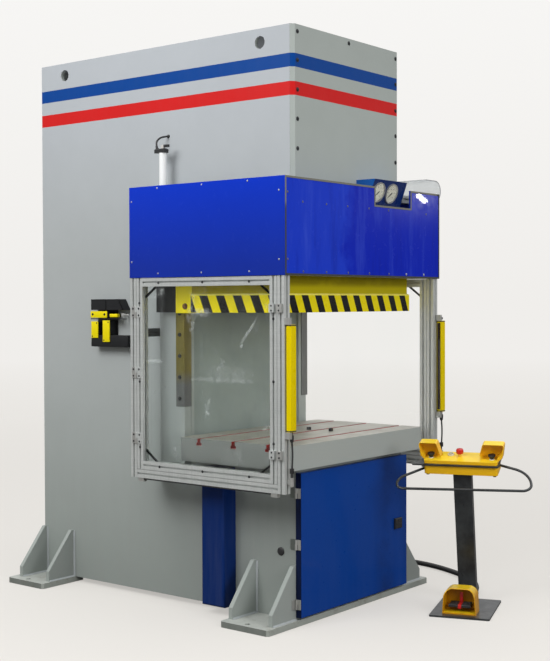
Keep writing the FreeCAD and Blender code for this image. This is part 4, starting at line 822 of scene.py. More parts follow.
# ---- piece building ----
class Piece:
    """Collects the faces of one piece, in millimetres, and makes its object in metres."""

    def __init__(self):
        self.mesh = bmesh.new()

    def add(self, points, faces, smooth=False):
        corners = [self.mesh.verts.new(mm(*p)) for p in points]
        for face in faces:
            made = self.mesh.faces.new([corners[i] for i in face])
            made.smooth = smooth
        return self

    def turned(self, profile, at, axis=(0, 0, 1), steps=24):
        """A turned shape: rows of (radius, height) or (radius, height, "hex") along an axis."""
        turn = Vector((0, 0, 1)).rotation_difference(Vector(axis).normalized()).to_matrix()
        rings = []
        for radius, height, *kind in profile:
            ring = []
            for k in range(steps):
                angle = 2 * math.pi * k / steps
                reach = radius
                if kind:
                    sector = angle % (math.pi / 3) - math.pi / 6
                    reach = radius * math.cos(math.pi / 6) / math.cos(sector)
                point = turn @ Vector((reach * math.cos(angle), reach * math.sin(angle), height))
                ring.append(point + Vector(at))
            rings.append(ring)
        points = [p for ring in rings for p in ring]
        faces = []
        for r in range(len(rings) - 1):
            for k in range(steps):
                nxt = (k + 1) % steps
                faces.append((r * steps + k, r * steps + nxt, (r + 1) * steps + nxt,
                              (r + 1) * steps + k))
        faces.append(tuple(range(steps))[::-1])
        faces.append(tuple((len(rings) - 1) * steps + k for k in range(steps)))
        return self.add(points, faces)

    def block(self, low, high, bevel=1.0, segments=2):
        """A box with rounded edges."""
        part = bmesh.new()
        bmesh.ops.create_cube(part, size=1)
        size = [h - l for l, h in zip(low, high)]
        middle = [(h + l) / 2 for l, h in zip(low, high)]
        for vert in part.verts:
            vert.co = Vector([c * s + m for c, s, m in zip(vert.co, size, middle)])
        if bevel:
            bmesh.ops.bevel(part, geom=list(part.edges), offset=bevel, segments=segments,
                            affect="EDGES", profile=0.6)
        part.verts.ensure_lookup_table()
        points = [tuple(v.co) for v in part.verts]
        faces = [tuple(v.index for v in f.verts) for f in part.faces]
        part.free()
        return self.add(points, faces)

    def prism(self, outline, push):
        """A flat outline of corner points, pushed along a vector."""
        count = len(outline)
        points = [Vector(p) for p in outline] + [Vector(p) + Vector(push) for p in outline]
        faces = [tuple(range(count)), tuple(range(2 * count - 1, count - 1, -1))]
        faces += [(k, (k + 1) % count, count + (k + 1) % count, count + k) for k in range(count)]
        return self.add(points, faces)

    def make(self, name, material, body="press", slot=None, smooth_angle=35):
        bmesh.ops.recalc_face_normals(self.mesh, faces=self.mesh.faces)
        data = bpy.data.meshes.new(name)
        for face in self.mesh.faces:
            face.smooth = True
        self.mesh.to_mesh(data)
        self.mesh.free()
        data.set_sharp_from_angle(angle=math.radians(smooth_angle))
        data.materials.append(material)
        piece = bpy.data.objects.new(name, data)
        bpy.context.scene.collection.objects.link(piece)
        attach(piece, body)
        return piece


def button_head(piece, at, outward, radius=8):
    """Domed screw head with a hexagon socket, on a thin washer."""
    r = radius
    piece.turned([(1.45 * r, 0), (1.45 * r, 0.16 * r), (1.38 * r, 0.2 * r), (r, 0.2 * r),
                  (r, 0.32 * r), (0.9 * r, 0.5 * r), (0.7 * r, 0.66 * r), (0.5 * r, 0.72 * r),
                  (0.42 * r, 0.72 * r, "hex"), (0.4 * r, 0.3 * r, "hex")], at, outward)


def hex_head(piece, at, outward, radius=12):
    r = radius
    piece.turned([(1.3 * r, 0), (1.3 * r, 0.2 * r), (r, 0.2 * r, "hex"), (r, 0.78 * r, "hex"),
                  (0.84 * r, 0.86 * r), (0.5 * r, 0.88 * r)], at, outward)


FRONT, REAR, LEFT, RIGHT, UP = (0, -1, 0), (0, 1, 0), (-1, 0, 0), (1, 0, 0), (0, 0, 1)


def cover_screws():
    piece = Piece()
    for x, heights in ((-460, (3063, 2916, 2765, 2615, 2463)), (465, (3061, 2915, 2764, 2620, 2469))):
        for z in heights:
            button_head(piece, (x, 0, z), FRONT, 8)
    button_head(piece, (1, 0, 3075), FRONT, 8)
    piece.make("cover_screws", plated_dark(), slot="fixed_fittings")


@finish("blackened_screw")
def plated_dark(m):
    m.soft_edges(0.0006)
    worn = m.noise(120.0, 4)
    m.set(Base_Color=m.mix(worn, paint(28, 29, 31), paint(66, 67, 70)), Metallic=0.4,
          Roughness=m.span(worn, 0.3, 0.7, 0.3, 0.5))
    return m.bump(worn, 0.00005)


def hood_screws():
    piece, dull = Piece(), Piece()
    front = HOOD_FACE
    spots = [(x, 2174) for x in (-588, -386, -197, 3, 195, 588)]
    spots += [(x, 1825) for x in (-585, -387, -192, 6, 198, 376, 562)]
    spots += [(-712, 2216), (-712, 1885)]
    for x, z in spots:
        # the two lower right screws are larger and whiter plated, standing in for the glints on them
        glinting = x > 370 and z < 2000
        button_head(piece if glinting else dull, (x, front, z), FRONT, 5 if glinting else 4)
    sides = [(y, 2283) for y in (740, 421, 111)] + [(932, z) for z in (2219, 1891)]
    sides += [(y, 1827) for y in (736, 424, 102)] + [(-90, 2226), (-90, 1884)]
    for y, z in sides:
        button_head(piece, (-HOOD_SHEET_OUT, y, z), LEFT, 3.2)
        button_head(piece, (HOOD_SHEET_OUT, y, z), RIGHT, 3.2)
    piece.make("hood_screws", plated(), slot="fixed_fittings")
    dull.make("hood_face_screws", dull_screw(), slot="fixed_fittings")


@finish("dull_screw")
def dull_screw(m):
    worn = m.noise(120.0, 4, 0.6)
    m.set(Base_Color=m.mix(worn, paint(88, 92, 110), paint(140, 142, 152)), Metallic=0.5,
          Roughness=m.span(worn, 0.3, 0.7, 0.35, 0.55))
    return m.bump(worn, 0.00006)


def hood_trim():
    """Dark edging round the front panel, with the notch for the gauges."""
    wide, out = 10, HOOD_SHEET_OUT
    n0, n1, step = NOTCH

    def outline(inset, y):
        x, low, high = out - inset, HOOD_LOW + inset, HOOD_TOP - inset
        return [(-x, y, low), (x, y, low), (x, y, high), (n1 + inset, y, high),
                (n1 + inset, y, step - inset), (n0 - inset, y, step - inset),
                (n0 - inset, y, high), (-x, y, high)]

    outer, inner = outline(0, HOOD_FACE), outline(wide, HOOD_FACE)
    count = len(outer)
    piece = Piece()
    for k in range(count):
        j = (k + 1) % count
        piece.prism([outer[k], outer[j], inner[j], inner[k]], (0, -1.6, 0))
    piece.make("hood_trim", charcoal_trim(), slot="hood_front_panel")


def door_screws():
    for side, name, out in ((-1, "left_door", LEFT), (1, "right_door", RIGHT)):
        piece = Piece()
        x = side * POST_OUT
        for y, z in [(y, 1777) for y in (737, 422, 106)] + [(y, 787) for y in (735, 426, 110)]:
            button_head(piece, (x, y, z), out, 5)
        for z in (1668, 1242, 885):
            button_head(piece, (x, 880, z), out, 5)
        for z in (1589, 1275, 965):
            button_head(piece, (x, -50, z), out, 5)
        for z in (911, 1642):
            for lift in (-12, 12):
                button_head(piece, (x + side * 14, -46.5, z + lift), out, 3.5)
        for z in (933, 1290, 1620):
            for lift in (-18, 18):
                button_head(piece, (x + side * 4, 882, z + lift), out, 4)
        piece.make(name + "_screws", plated_dark(), name, "fixed_fittings")


def post_screws():
    """Screws of the catches' keepers and of the hinge leaves on the rear posts."""
    piece = Piece()
    for side, out in ((-1, LEFT), (1, RIGHT)):
        for z in (911, 1642):
            for lift in (-12, 12):
                button_head(piece, (side * (POST_OUT + 14), -94, z + lift), out, 3.5)
        for z in (933, 1290, 1620):
            for lift in (-18, 18):
                button_head(piece, (side * (POST_OUT + 4), 924, z + lift), out, 4)
    piece.make("post_screws", plated_dark(), slot="fixed_fittings")


def plug():
    piece = Piece()
    piece.turned([(16, -4), (19.8, 0), (22, 0.2), (22, 3), (19, 5.5), (9, 7)],
                 (-HALF, 85, 375), LEFT)
    piece.make("hole_plug", black_plastic(), slot="table_studs")


def latch_grip():
    """Finger bar across the latch of the base door, with a keyhole rose above it."""
    piece = Piece()
    piece.block((376, -65.6, 403), (428, -63.5, 413), 1)
    piece.turned([(7, -0.5), (7, 1.2), (6, 1.8), (2.2, 1.8), (2, 0.4)], (402, -64, 427), FRONT, 20)
    piece.make("latch_grip", plated_dark(), "latch", "base_door_latch")


def rail_bolts():
    piece = Piece()
    for side in (-1, 1):
        for z in (1145, 1262, 1378, 1495, 1611, 1728):
            hex_head(piece, (side * (HALF + 60), 738, z), (side, 0, 0), 9)
    piece.make("rail_bolts", plated_dark(), slot="guide_rails")
    shoe = Piece()
    for side in (-1, 1):
        hex_head(shoe, (side * (HALF + 100), 660, 1650), (side, 0, 0), 13)
    shoe.make("shoe_bolts", rusty(), "ram", "guide_shoes")


@finish("rusty_bolt")
def rusty(m):
    m.soft_edges(0.001)
    worn = m.noise(90.0, 5, 0.7)
    m.set(Base_Color=m.mix(worn, paint(96, 62, 34), paint(150, 112, 60)), Metallic=0.3,
          Roughness=m.span(worn, 0.3, 0.7, 0.5, 0.75))
    return m.bump(worn, 0.0002)


def guard_strips():
    """Black strip under each guard's bottom rail."""
    piece = Piece()
    for side in (-1, 1):
        x0, x1 = sorted((side * 727, side * 703))
        piece.block((x0, -24, 709), (x1, 856, 717.3), 1.5)
    piece.make("guard_strips", black_plastic(), slot="fixed_fittings")


def table_studs():
    """Socket screws that close the two tapped holes in the table."""
    piece = Piece()
    for x, y in ((98, 350), (114, 207)):
        piece.turned([(13, -1), (13, 13), (12, 14.5), (7.2, 14.5, "hex"), (7, 6, "hex")],
                     (x, y, TABLE_TOP + 1), UP, 30)
    made = piece.make("table_stud_screws", black_plastic(), slot="table_studs")
    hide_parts("table_studs")


def station():
    """Switch station: tray, split hood, key plate, handle and two switches."""
    black, yellow, metal = Piece(), Piece(), Piece()
    black.block((-504.5, 1276, 1417), (-500.2, 1440, 1690), 1)
    black.block((-560, 1141, 1416.5), (-504, 1440, 1484), 3)
    for y0, y1, low_y in ((1437, 1316, 1316), (1311, 1212, 1175)):
        black.prism([(-562, y0, 1629), (-562, low_y, 1629), (-562, y1, 1691), (-562, y0, 1691)],
                    (3.5, 0, 0))
    black.block((-562, 1213, 1687.5), (-500.2, 1437, 1691), 0.8)
    black.block((-562, 1433.5, 1629), (-500.2, 1437, 1690), 0.8)
    black.prism([(-562, 1175, 1629), (-562, 1179, 1629), (-562, 1215, 1690), (-562, 1212, 1691)],
                (61, 0, 0))
    black.block((-563, 1152, 1575), (-556, 1439, 1581), 1)
    black.block((-560, 1300, 1586), (-505, 1434, 1620), 2)
    black.block((-558, 1250, 1588), (-505, 1296, 1604), 2)
    yellow.block((-566, 1303, 1584), (-559.5, 1438, 1622), 2)
    yellow.block((-566, 1218, 1587), (-542, 1282, 1607), 6, 4)
    metal.block((-561, 1172, 1590), (-540, 1192, 1610), 4, 3)
    metal.turned([(5, 0), (5, 22), (7, 24), (7, 32)], (-550, 1172, 1600), (0, -1, 0))
    for y0, y1, z0, z1 in ((1376, 1432, 1467, 1563), (1281, 1337, 1445, 1569)):
        yellow.block((-567.5, y0, z0), (-561, y1, z1), 2)
        black.block((-562, y0 + 3, 1483), (-505, y1 - 3, z1 - 3), 2)
        for y, z in ((y0 + 10, z1 - 10), (y1 - 10, z0 + 10)):
            button_head(black, (-567.4, y, z), LEFT, 3)
    for y in (1322, 1420):
        button_head(black, (-565.9, y, 1604), LEFT, 5)
    made = black.make("station_housing", black_enamel(), slot="switch_station")
    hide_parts("switch_station")
    made = yellow.make("station_plates", yellow_enamel(), slot="station_switches")
    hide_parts("station_switches")
    metal.make("station_plug", plated(), slot="station_switches")


def cover_edge():
    """Dark polished edge of the clear cover's front end."""
    radius, centre_x, centre_z = 60, 708, 2316
    start = -math.acos((736 - centre_x) / radius)
    rows = [(736, 2213), (736, 2250)]
    for k in range(17):
        angle = start + (math.pi / 2 - start) * k / 16
        rows.append((centre_x + radius * math.cos(angle), centre_z + radius * math.sin(angle)))
    rows.append((centre_x - 105, centre_z + radius))
    piece = Piece()
    for (x0, z0), (x1, z1) in zip(rows, rows[1:]):
        run = Vector((x1 - x0, 0, z1 - z0)).normalized()
        across = Vector((-run.z, 0, run.x)) * 4.5
        inner0, inner1 = Vector((x0, -119.4, z0)) + across, Vector((x1, -119.4, z1)) + across
        piece.prism([Vector((x0, -119.4, z0)), Vector((x1, -119.4, z1)), inner1, inner0],
                    (0, 1.2, 0))
    piece.make("cover_edge", edge_tint(), slot="clear_side_cover")


@finish("edge_tint")
def edge_tint(m):
    shade = m.noise(60.0, 3)
    m.set(Base_Color=m.mix(shade, paint(96, 98, 104), paint(140, 142, 148)), Roughness=0.3)
    return m.bump(shade, 0.00005)


def weld_run(piece, start, end, first, second, size, seed):
    """One rippled fillet weld from start to end, in the corner between two faces."""
    start, end = Vector(start), Vector(end)
    first, second = Vector(first), Vector(second)
    along = end - start
    count = max(6, int(along.length / 7))
    random.seed(seed)
    rings = []
    for k in range(count + 1):
        centre = start + along * k / count
        swell = size * (1 + 0.10 * (k % 2) + random.uniform(-0.06, 0.06))
        tip = centre + (first + second) * (0.46 * swell)
        rings.append([centre, centre + first * swell, centre + first * swell * 0.8 + second * 0.24 * swell,
                      tip, centre + first * 0.24 * swell + second * swell * 0.8,
                      centre + second * swell])
    size_ring = len(rings[0])
    points = [p for ring in rings for p in ring]
    faces = []
    for r in range(count):
        for k in range(size_ring):
            j = (k + 1) % size_ring
            faces.append((r * size_ring + k, r * size_ring + j, (r + 1) * size_ring + j,
                          (r + 1) * size_ring + k))
    faces.append(tuple(range(size_ring)))
    faces.append(tuple(count * size_ring + k for k in range(size_ring))[::-1])
    piece.add(points, faces)


def foot_welds():
    """Fillet welds that join each gusset to its foot and to the frame."""
    piece = Piece()
    thick, reach, top = 25, 700, 310
    seed = 0
    for gusset_y in (-15, 249, 1662, 1898):
        for side in (-1, 1):
            for face_y, out in ((gusset_y, -1), (gusset_y + thick, 1)):
                if gusset_y == -15 and out < 0 or gusset_y == 1898 and out > 0:
                    wall = None
                else:
                    wall = (side * HALF, face_y, top - 4)
                seed += 1
                corner = (side * HALF, face_y, FOOT_TOP)
                if wall:
                    weld_run(piece, corner, wall, (side, 0, 0), (0, out, 0), 8, seed)
                weld_run(piece, (side * (HALF + 4), face_y, FOOT_TOP),
                         (side * (reach - 3), face_y, FOOT_TOP), (0, out, 0), (0, 0, 1), 8,
                         seed + 100)
    piece.make("foot_welds", weld_metal(), slot="foot_gussets", smooth_angle=60)


def curtain_details():
    """Moulded ribs, thin end caps, plugs and the dark optical window of each light curtain."""
    ribs, caps, windows = Piece(), Piece(), Piece()
    low, high = CURTAIN_Z
    for x, inward in ((CURTAIN_X[0], 1), (CURTAIN_X[1], -1)):
        for z0, z1 in ((low - 0.4, low + 10), (high - 9, high + 0.4)):
            caps.block((x - 23, CURTAIN_FACE - 0.6, z0), (x + 23, CURTAIN_REAR + 0.6, z1), 4)
        for at, wide in ((-17, 6), (-5, 2.5), (7, 2.5), (18, 5)):
            ribs.block((x + at - wide / 2, CURTAIN_FACE - 0.9, low + 13),
                       (x + at + wide / 2, CURTAIN_FACE + 1, high - 12), 0.7)
        face = x + inward * 22.5
        windows.block((min(face, face + inward * 0.7) - 1, CURTAIN_FACE + 5, low + 14),
                      (max(face, face + inward * 0.7) + 1, CURTAIN_REAR - 5, high - 13), 1)
        caps.turned([(6, low), (6, low - 14), (10, low - 16), (10.5, low - 30), (9, low - 46),
                     (5.5, low - 52)], (x, CABLE_Y, 0), UP)
        caps.block((x - 9, CABLE_Y - 8, 821), (x + 9, CABLE_Y + 8, 847), 2)
    knob_y, knob_z = (CURTAIN_FACE + CURTAIN_REAR) / 2, high + 14
    caps.turned([(7, 0), (7, 9), (9, 10), (9, 15), (7, 17)], (727.5, knob_y, knob_z), RIGHT)
    caps.make("curtain_caps", black_plastic(), slot="curtain_clamps")
    ribs.make("curtain_ribs", curtain_yellow(), slot="light_curtains")
    windows.make("curtain_windows", sensor_window(), slot="light_curtains")


# ---- control stand ----
def on_stand(*shift, lean=0.0):
    """Matrix from the stand's own frame, or one that leans in it, to the press, in metres."""
    place = Matrix.Translation(mm(*STAND_AT, 0)) @ Matrix.Rotation(STAND_TURN, 4, "Z")
    return place @ Matrix.Translation(mm(*(shift or (0, 0, 0)))) @ Matrix.Rotation(lean, 4, "X")


def on_lid(piece):
    bmesh.ops.transform(piece.mesh, matrix=on_stand(*LID_AT, lean=POST_LEAN), verts=piece.mesh.verts)
    return piece


def stand_details():
    """Turned buttons with their collars, rubber feet under the box and the treadle's strip."""
    bottom = LID_TOP - 10
    for name, at in zip(("palm_button_left", "palm_button_right"), PALM_AT):
        cap = Piece()
        cap.turned([(9, bottom), (9, 84.5), (11.5, 86), (17, 93), (20, 98.5), (20, 102.5),
                    (17.6, 105.4), (10, 106)], (*at, 0), steps=32)
        body = name.replace("button_", "")
        made = on_lid(cap).make(name + "_cap", black_plastic(), body)
        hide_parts(name)
    collars = Piece()
    for at in PALM_AT:
        collars.turned([(14, LID_TOP - 1), (14, 78.6), (12, 80.4), (9.4, 80.4)], (*at, 0), steps=28)
    collars.turned([(17.2, LID_TOP), (17.2, 83.2), (15.5, 84.2), (12.6, 84.2)], (*START_AT, 0),
                   steps=28)
    on_lid(collars).make("button_collars", pale_plastic(), slot="control_lid")
    stop = Piece()
    stop.turned([(13, 92), (17, 93), (19.6, 96), (20, 104), (19.8, 112), (17.6, 117), (12, 119.6),
                 (4, 120)], (*STOP_AT, 0), steps=36)
    made = on_lid(stop).make("emergency_stop_cap", red_plastic(), "stop_button")
    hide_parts("emergency_stop")
    stem = Piece()
    stem.turned([(11, bottom), (11, 88), (12.5, 92.5)], (*STOP_AT, 0), steps=28)
    on_lid(stem).make("emergency_stop_stem", stop_stem(), "stop_button", "emergency_stop")
    feet = Piece()
    for x in (-180, 180):
        for y in (-54, 54):
            feet.turned([(9, 0.5), (10, -5), (8.5, -8)], (x, y, 0), UP)
    on_lid(feet).make("box_feet", black_plastic(), slot="control_stand")
    strip, ribs = Piece(), Piece()
    strip.block((TREADLE_X - 9, -144, TREADLE_TOP - 1), (TREADLE_X + 9, -84, TREADLE_TOP + 1.2), 0.8)
    strip.block((TREADLE_X - 9, -83, TREADLE_TOP - 1), (TREADLE_X + 9, -78, 112), 1.5)
    strip.block((TREADLE_X - 9, -148.5, 37), (TREADLE_X + 9, -145, TREADLE_TOP + 1), 1)
    for k in range(9):
        for side in (-1, 1):
            x, y = TREADLE_X + side * 33, -143 + 8.4 * k
            ribs.block((x - 21, y, TREADLE_TOP - 1), (x + 21, y + 4, TREADLE_TOP + 1), 0.6)
    for part, name, material in ((strip, "treadle_strip", red_plastic()),
                                 (ribs, "treadle_ribs", black_plastic())):
        bmesh.ops.transform(part.mesh, matrix=on_stand(), verts=part.mesh.verts)
        part.make(name, material, "treadle", "foot_treadle")


# ---- gauges ----
def dial_frame(x):
    """Matrix from a dial's own plane (X right, Y up, Z outward) to the press."""
    up = Vector((0, -math.sin(GAUGE_SLOPE), math.cos(GAUGE_SLOPE)))
    out = Vector((0, -math.cos(GAUGE_SLOPE), -math.sin(GAUGE_SLOPE)))
    right = up.cross(out)
    centre = Vector((x, *GAUGE_FACE)) + out * 3
    turn = Matrix((right, up, out)).transposed().to_4x4()
    return Matrix.Translation(centre / 1000) @ turn


def dial_print(piece, spot, text, size):
    """One number, as a thin raised print."""
    curve = bpy.data.curves.new("number", "FONT")
    curve.body = text
    curve.size = size / 1000
    curve.align_x, curve.align_y = "CENTER", "CENTER"
    curve.extrude = 0.00003
    curve.resolution_u = 3
    letters = bpy.data.objects.new("number", curve)
    mesh = bpy.data.meshes.new_from_object(letters)
    points = [(v.co.x * 1000 + spot[0], v.co.y * 1000 + spot[1], v.co.z * 1000 + 0.2)
              for v in mesh.vertices]
    piece.add(points, [tuple(p.vertices) for p in mesh.polygons])
    bpy.data.objects.remove(letters)
    bpy.data.curves.remove(curve)
    bpy.data.meshes.remove(mesh)


def dials():
    for index, x in enumerate(GAUGE_X):
        name = ("left", "right")[index]
        place = dial_frame(x)
        face = Piece()
        face.turned([(DIAL_R - 0.4, 0.0), (DIAL_R - 0.4, 0.14)], (0, 0, 0), steps=48)
        ink = Piece()
        divisions = 50
        for k in range(divisions + 1):
            angle = math.radians(225 - 270 * k / divisions)
            long = k % 5 == 0
            inner, outer = (36 if long else 40), 44
            half = 0.9 if long else 0.45
            c, s = math.cos(angle), math.sin(angle)
            ink.prism([(inner * c + half * s, inner * s - half * c, 0.16),
                       (outer * c + half * s, outer * s - half * c, 0.16),
                       (outer * c - half * s, outer * s + half * c, 0.16),
                       (inner * c - half * s, inner * s + half * c, 0.16)], (0, 0, 0.06))
        step = (40, 100)[index]
        for k in range(0, divisions + 1, 10):
            angle = math.radians(225 - 270 * k / divisions)
            spot = (28 * math.cos(angle), 28 * math.sin(angle))
            dial_print(ink, spot, str(step * k // 10), 8)
        glass = Piece()
        glass.turned([(DIAL_R - 0.5, 3.6), (DIAL_R - 0.5, 4.6), (DIAL_R * 0.5, 5.3),
                      (4, 5.5)], (0, 0, 0), steps=48)
        for part, part_name, material in ((face, "dial_", dial_face()), (ink, "dial_scale_", dial_ink()),
                                          (glass, "dial_glass_", lens_glass())):
            bmesh.ops.transform(part.mesh, matrix=place, verts=part.mesh.verts)
            part.make(part_name + name, material, slot="gauge_cases")


# ---- cords ----
def line_cord(name, route, radius, material, body="press"):
    """A smooth cord along its control points, given in millimetres."""
    curve = bpy.data.curves.new(name, "CURVE")
    curve.dimensions = "3D"
    curve.bevel_depth = radius / 1000
    curve.bevel_resolution = 5
    curve.resolution_u = 16
    curve.use_fill_caps = True
    spline = curve.splines.new("NURBS")
    spline.points.add(len(route) - 1)
    for point, place in zip(spline.points, route):
        point.co = (*mm(*place), 1)
    spline.order_u = 3
    spline.use_endpoint_u = True
    curve.materials.append(material)
    piece = bpy.data.objects.new(name, curve)
    bpy.context.scene.collection.objects.link(piece)
    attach(piece, body)
    return piece


def conduit():
    cord = line_cord("floor_conduit", CONDUIT_ROUTE, CONDUIT_R, sheath())
    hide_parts("control_conduit")
    relief = Piece()
    for end, inward in ((0, 1), (-1, -2)):
        at = Vector(CONDUIT_ROUTE[end])
        away = (Vector(CONDUIT_ROUTE[inward]) - at).normalized()
        profile = [(22, -2), (22, 6), (19.5, 8), (20.5, 11), (19, 14), (19.8, 17), (18.2, 20),
                   (18.8, 23), (17.2, 27), (17.6, 30), (16.2, 36), (15.6, 46), (15.1, 48)]
        relief.turned(profile, at, away, 28)
    sleeve = relief.make("conduit_strain_relief", black_plastic(), slot="conduit_glands")


def transducer_wire():
    wire = line_cord("transducer_wire", WIRE_ROUTE, WIRE_R, cable_jacket())
    relief = Piece()
    relief.turned([(9, -4), (9, 4), (7.4, 6), (7.8, 9), (6.6, 12), (6.8, 15), (5.3, 20)],
                  WIRE_ROUTE[0], Vector(WIRE_ROUTE[1]) - Vector(WIRE_ROUTE[0]))
    relief.turned([(10, 0), (10, 3), (8, 5), (5.2, 6)], WIRE_ROUTE[-1], LEFT)
    sleeve = relief.make("transducer_wire_relief", black_plastic(), slot="stroke_transducer")


def curtain_cables():
    for name, x in (("left_curtain_cable", CURTAIN_X[0]), ("right_curtain_cable", CURTAIN_X[1])):
        high = CURTAIN_Z[0]
        route = [(x, CABLE_Y, high), (x, CABLE_Y, high - 45), (x + 1, CABLE_Y - 4, high - 100),
                 (x - 1, CABLE_Y - 4, high - 150), (x, CABLE_Y, CABLE_LOW + 30),
                 (x, CABLE_Y, CABLE_LOW)]
        cable = line_cord(name, route, CABLE_R, cable_jacket())
        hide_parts("curtain_cables")


# ---- floor, light and camera ----
def stage():
    data = bpy.data.meshes.new("studio_floor")
    reach = 400
    data.from_pydata([(-reach, -reach, 0), (reach, -reach, 0), (reach, reach, 0), (-reach, reach, 0)],
                     [], [(0, 1, 2, 3)])
    floor = bpy.data.objects.new("studio_floor", data)
    bpy.context.scene.collection.objects.link(floor)
    floor.location.z = -0.0005
    m = Finish("studio_floor")
    near, far = paint(229, 226, 221), paint(240, 238, 235)
    distance = m.tree.nodes.new("ShaderNodeVectorMath")
    distance.operation = "LENGTH"
    m.tree.links.new(m.at, distance.inputs[0])
    tone = m.mix(m.span(distance.outputs["Value"], 2.0, 30.0), near, far)
    glow = m.tree.nodes.new("ShaderNodeEmission")
    m.put(glow.inputs[0], tone)
    path = m.tree.nodes.new("ShaderNodeLightPath")
    seen = m.math("MAXIMUM", path.outputs["Is Camera Ray"], path.outputs["Is Transmission Ray"])
    m.set(Base_Color=m.mix(seen, paint(118, 116, 113), tone), Roughness=0.9,
          Specular_IOR_Level=0.1)
    mixer = m.tree.nodes.new("ShaderNodeMixShader")
    even = m.span(distance.outputs["Value"], 3.0, 12.0, 0.6, 1.0)
    m.put(mixer.inputs[0], m.math("MULTIPLY", seen, even))
    m.tree.links.new(m.shader.outputs[0], mixer.inputs[1])
    m.tree.links.new(glow.outputs[0], mixer.inputs[2])
    m.tree.links.new(mixer.outputs[0], m.out.inputs[0])
    data.materials.append(m.data)


def world(low, high):
    """Light that grows from the horizon to the top, with brighter bands for reflections only."""
    sky = bpy.data.worlds.new("studio")
    bpy.context.scene.world = sky
    sky.use_nodes = True
    tree = sky.node_tree
    tree.nodes.clear()
    out = tree.nodes.new("ShaderNodeOutputWorld")
    light = tree.nodes.new("ShaderNodeBackground")
    view = tree.nodes.new("ShaderNodeBackground")
    place = tree.nodes.new("ShaderNodeTexCoord")
    split = tree.nodes.new("ShaderNodeSeparateXYZ")
    tree.links.new(place.outputs["Generated"], split.inputs[0])
    path = tree.nodes.new("ShaderNodeLightPath")

    def span(value, *numbers):
        node = tree.nodes.new("ShaderNodeMapRange")
        tree.links.new(value, node.inputs[0])
        for socket, number in zip(node.inputs[1:5], numbers):
            socket.default_value = number
        return node.outputs[0]

    def math_node(operation, a, b):
        node = tree.nodes.new("ShaderNodeMath")
        node.operation = operation
        tree.links.new(a, node.inputs[0])
        tree.links.new(b, node.inputs[1])
        return node.outputs[0]

    fit = tree.nodes.new("ShaderNodeMapping")
    fit.inputs["Scale"].default_value = (14, 14, 1.2)
    tree.links.new(place.outputs["Generated"], fit.inputs[0])
    bands = tree.nodes.new("ShaderNodeTexNoise")
    bands.inputs["Scale"].default_value = 1.0
    bands.inputs["Detail"].default_value = 1.0
    tree.links.new(fit.outputs[0], bands.inputs["Vector"])
    window = math_node("MULTIPLY", span(bands.outputs["Fac"], 0.45, 0.65, 0, 0.3),
                       path.outputs["Is Glossy Ray"])
    light.inputs["Color"].default_value = (1, 1, 1, 1)
    tree.links.new(math_node("ADD", span(split.outputs[2], 0, 1, low, high), window),
                   light.inputs["Strength"])
    ramp = tree.nodes.new("ShaderNodeMix")
    ramp.data_type = "RGBA"
    tree.links.new(span(split.outputs[2], 0, 0.237, 0, 1), ramp.inputs[0])
    ramp.inputs[6].default_value = paint(240, 238, 235)
    ramp.inputs[7].default_value = paint(247, 246, 244)
    tree.links.new(ramp.outputs[2], view.inputs["Color"])
    seen = math_node("MAXIMUM", path.outputs["Is Camera Ray"], path.outputs["Is Transmission Ray"])
    mixer = tree.nodes.new("ShaderNodeMixShader")
    tree.links.new(seen, mixer.inputs[0])
    tree.links.new(light.outputs[0], mixer.inputs[1])
    tree.links.new(view.outputs[0], mixer.inputs[2])
    tree.links.new(mixer.outputs[0], out.inputs[0])


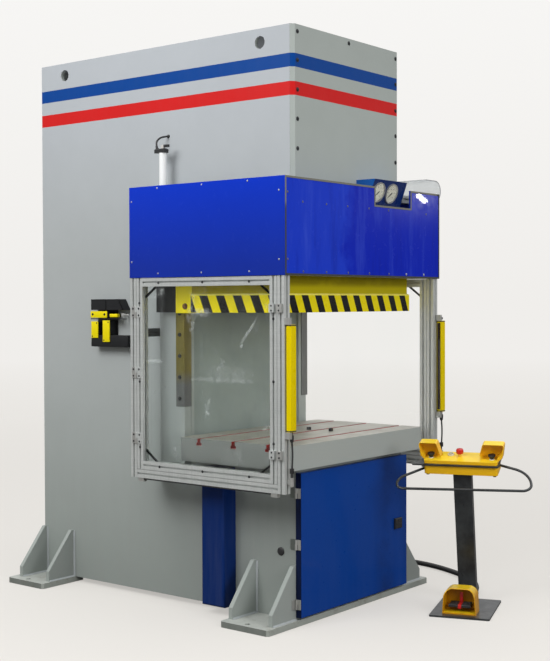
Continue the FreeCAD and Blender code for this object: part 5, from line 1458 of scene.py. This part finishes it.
def area_lamp(name, at, target, width, height, power):
    lamp = bpy.data.lights.new(name, "AREA")
    lamp.shape = "RECTANGLE"
    lamp.size, lamp.size_y = width, height
    lamp.energy = power
    piece = bpy.data.objects.new(name, lamp)
    bpy.context.scene.collection.objects.link(piece)
    piece.location = at
    piece.rotation_mode = "QUATERNION"
    piece.rotation_quaternion = (Vector(target) - Vector(at)).to_track_quat("-Z", "Y")
    return piece


def lights():
    inside = area_lamp("head_interior", (-0.2, 0.95, 2.9), (-0.2, 0.95, 3.2), 0.3, 1.7, 0.7)
    inside.visible_camera = False
    world(0.2, 1.2)
    area_lamp("key", (-5.6, 1.4, 5.2), (-0.5, 0.9, 2.5), 3.5, 3.0, 250)
    front = area_lamp("front_fill", (-1.6, -6.0, 2.8), (0.2, -0.2, 1.2), 2.5, 2.5, 150)
    front.visible_glossy = False
    glint = area_lamp("window_glint", (3.09, -1.70, 2.51), (0.55, -0.129, 2.265), 0.04, 0.10, 2.4)
    glint.rotation_quaternion = glint.rotation_quaternion @ Quaternion((0, 0, 1), 0.85)


def camera():
    """Camera at the photograph's own place: azimuth, elevation and roll in degrees."""
    azimuth, elevation, roll = (math.radians(a) for a in (-51.61, 1.332, -0.177))
    focal_px, long_side_px = 1237.08, 661
    back = Vector((math.sin(azimuth) * math.cos(elevation),
                   -math.cos(azimuth) * math.cos(elevation), math.sin(elevation)))
    right = (-back).cross(Vector((0, 0, 1))).normalized()
    up = right.cross(-back)
    turned_right = right * math.cos(roll) + up * math.sin(roll)
    turned_up = up * math.cos(roll) - right * math.sin(roll)
    data = bpy.data.cameras.new("camera")
    data.sensor_width = 36
    data.lens = 36 * focal_px / long_side_px
    data.clip_start, data.clip_end = 0.1, 1000
    shooter = bpy.data.objects.new("camera", data)
    bpy.context.scene.collection.objects.link(shooter)
    shooter.matrix_world = Matrix.Translation(mm(-5543.5, -3875.1, 1673.6)) @ Matrix(
        (turned_right, turned_up, back)).transposed().to_4x4()
    bpy.context.scene.camera = shooter


camera()
conduit()
curtain_cables()
transducer_wire()
cover_screws()
hood_screws()
hood_trim()
door_screws()
post_screws()
plug()
latch_grip()
rail_bolts()
guard_strips()
table_studs()
station()
cover_edge()
foot_welds()
curtain_details()
stand_details()
dials()
stage()
lights()

bpy.context.scene.view_settings.view_transform = "Standard"
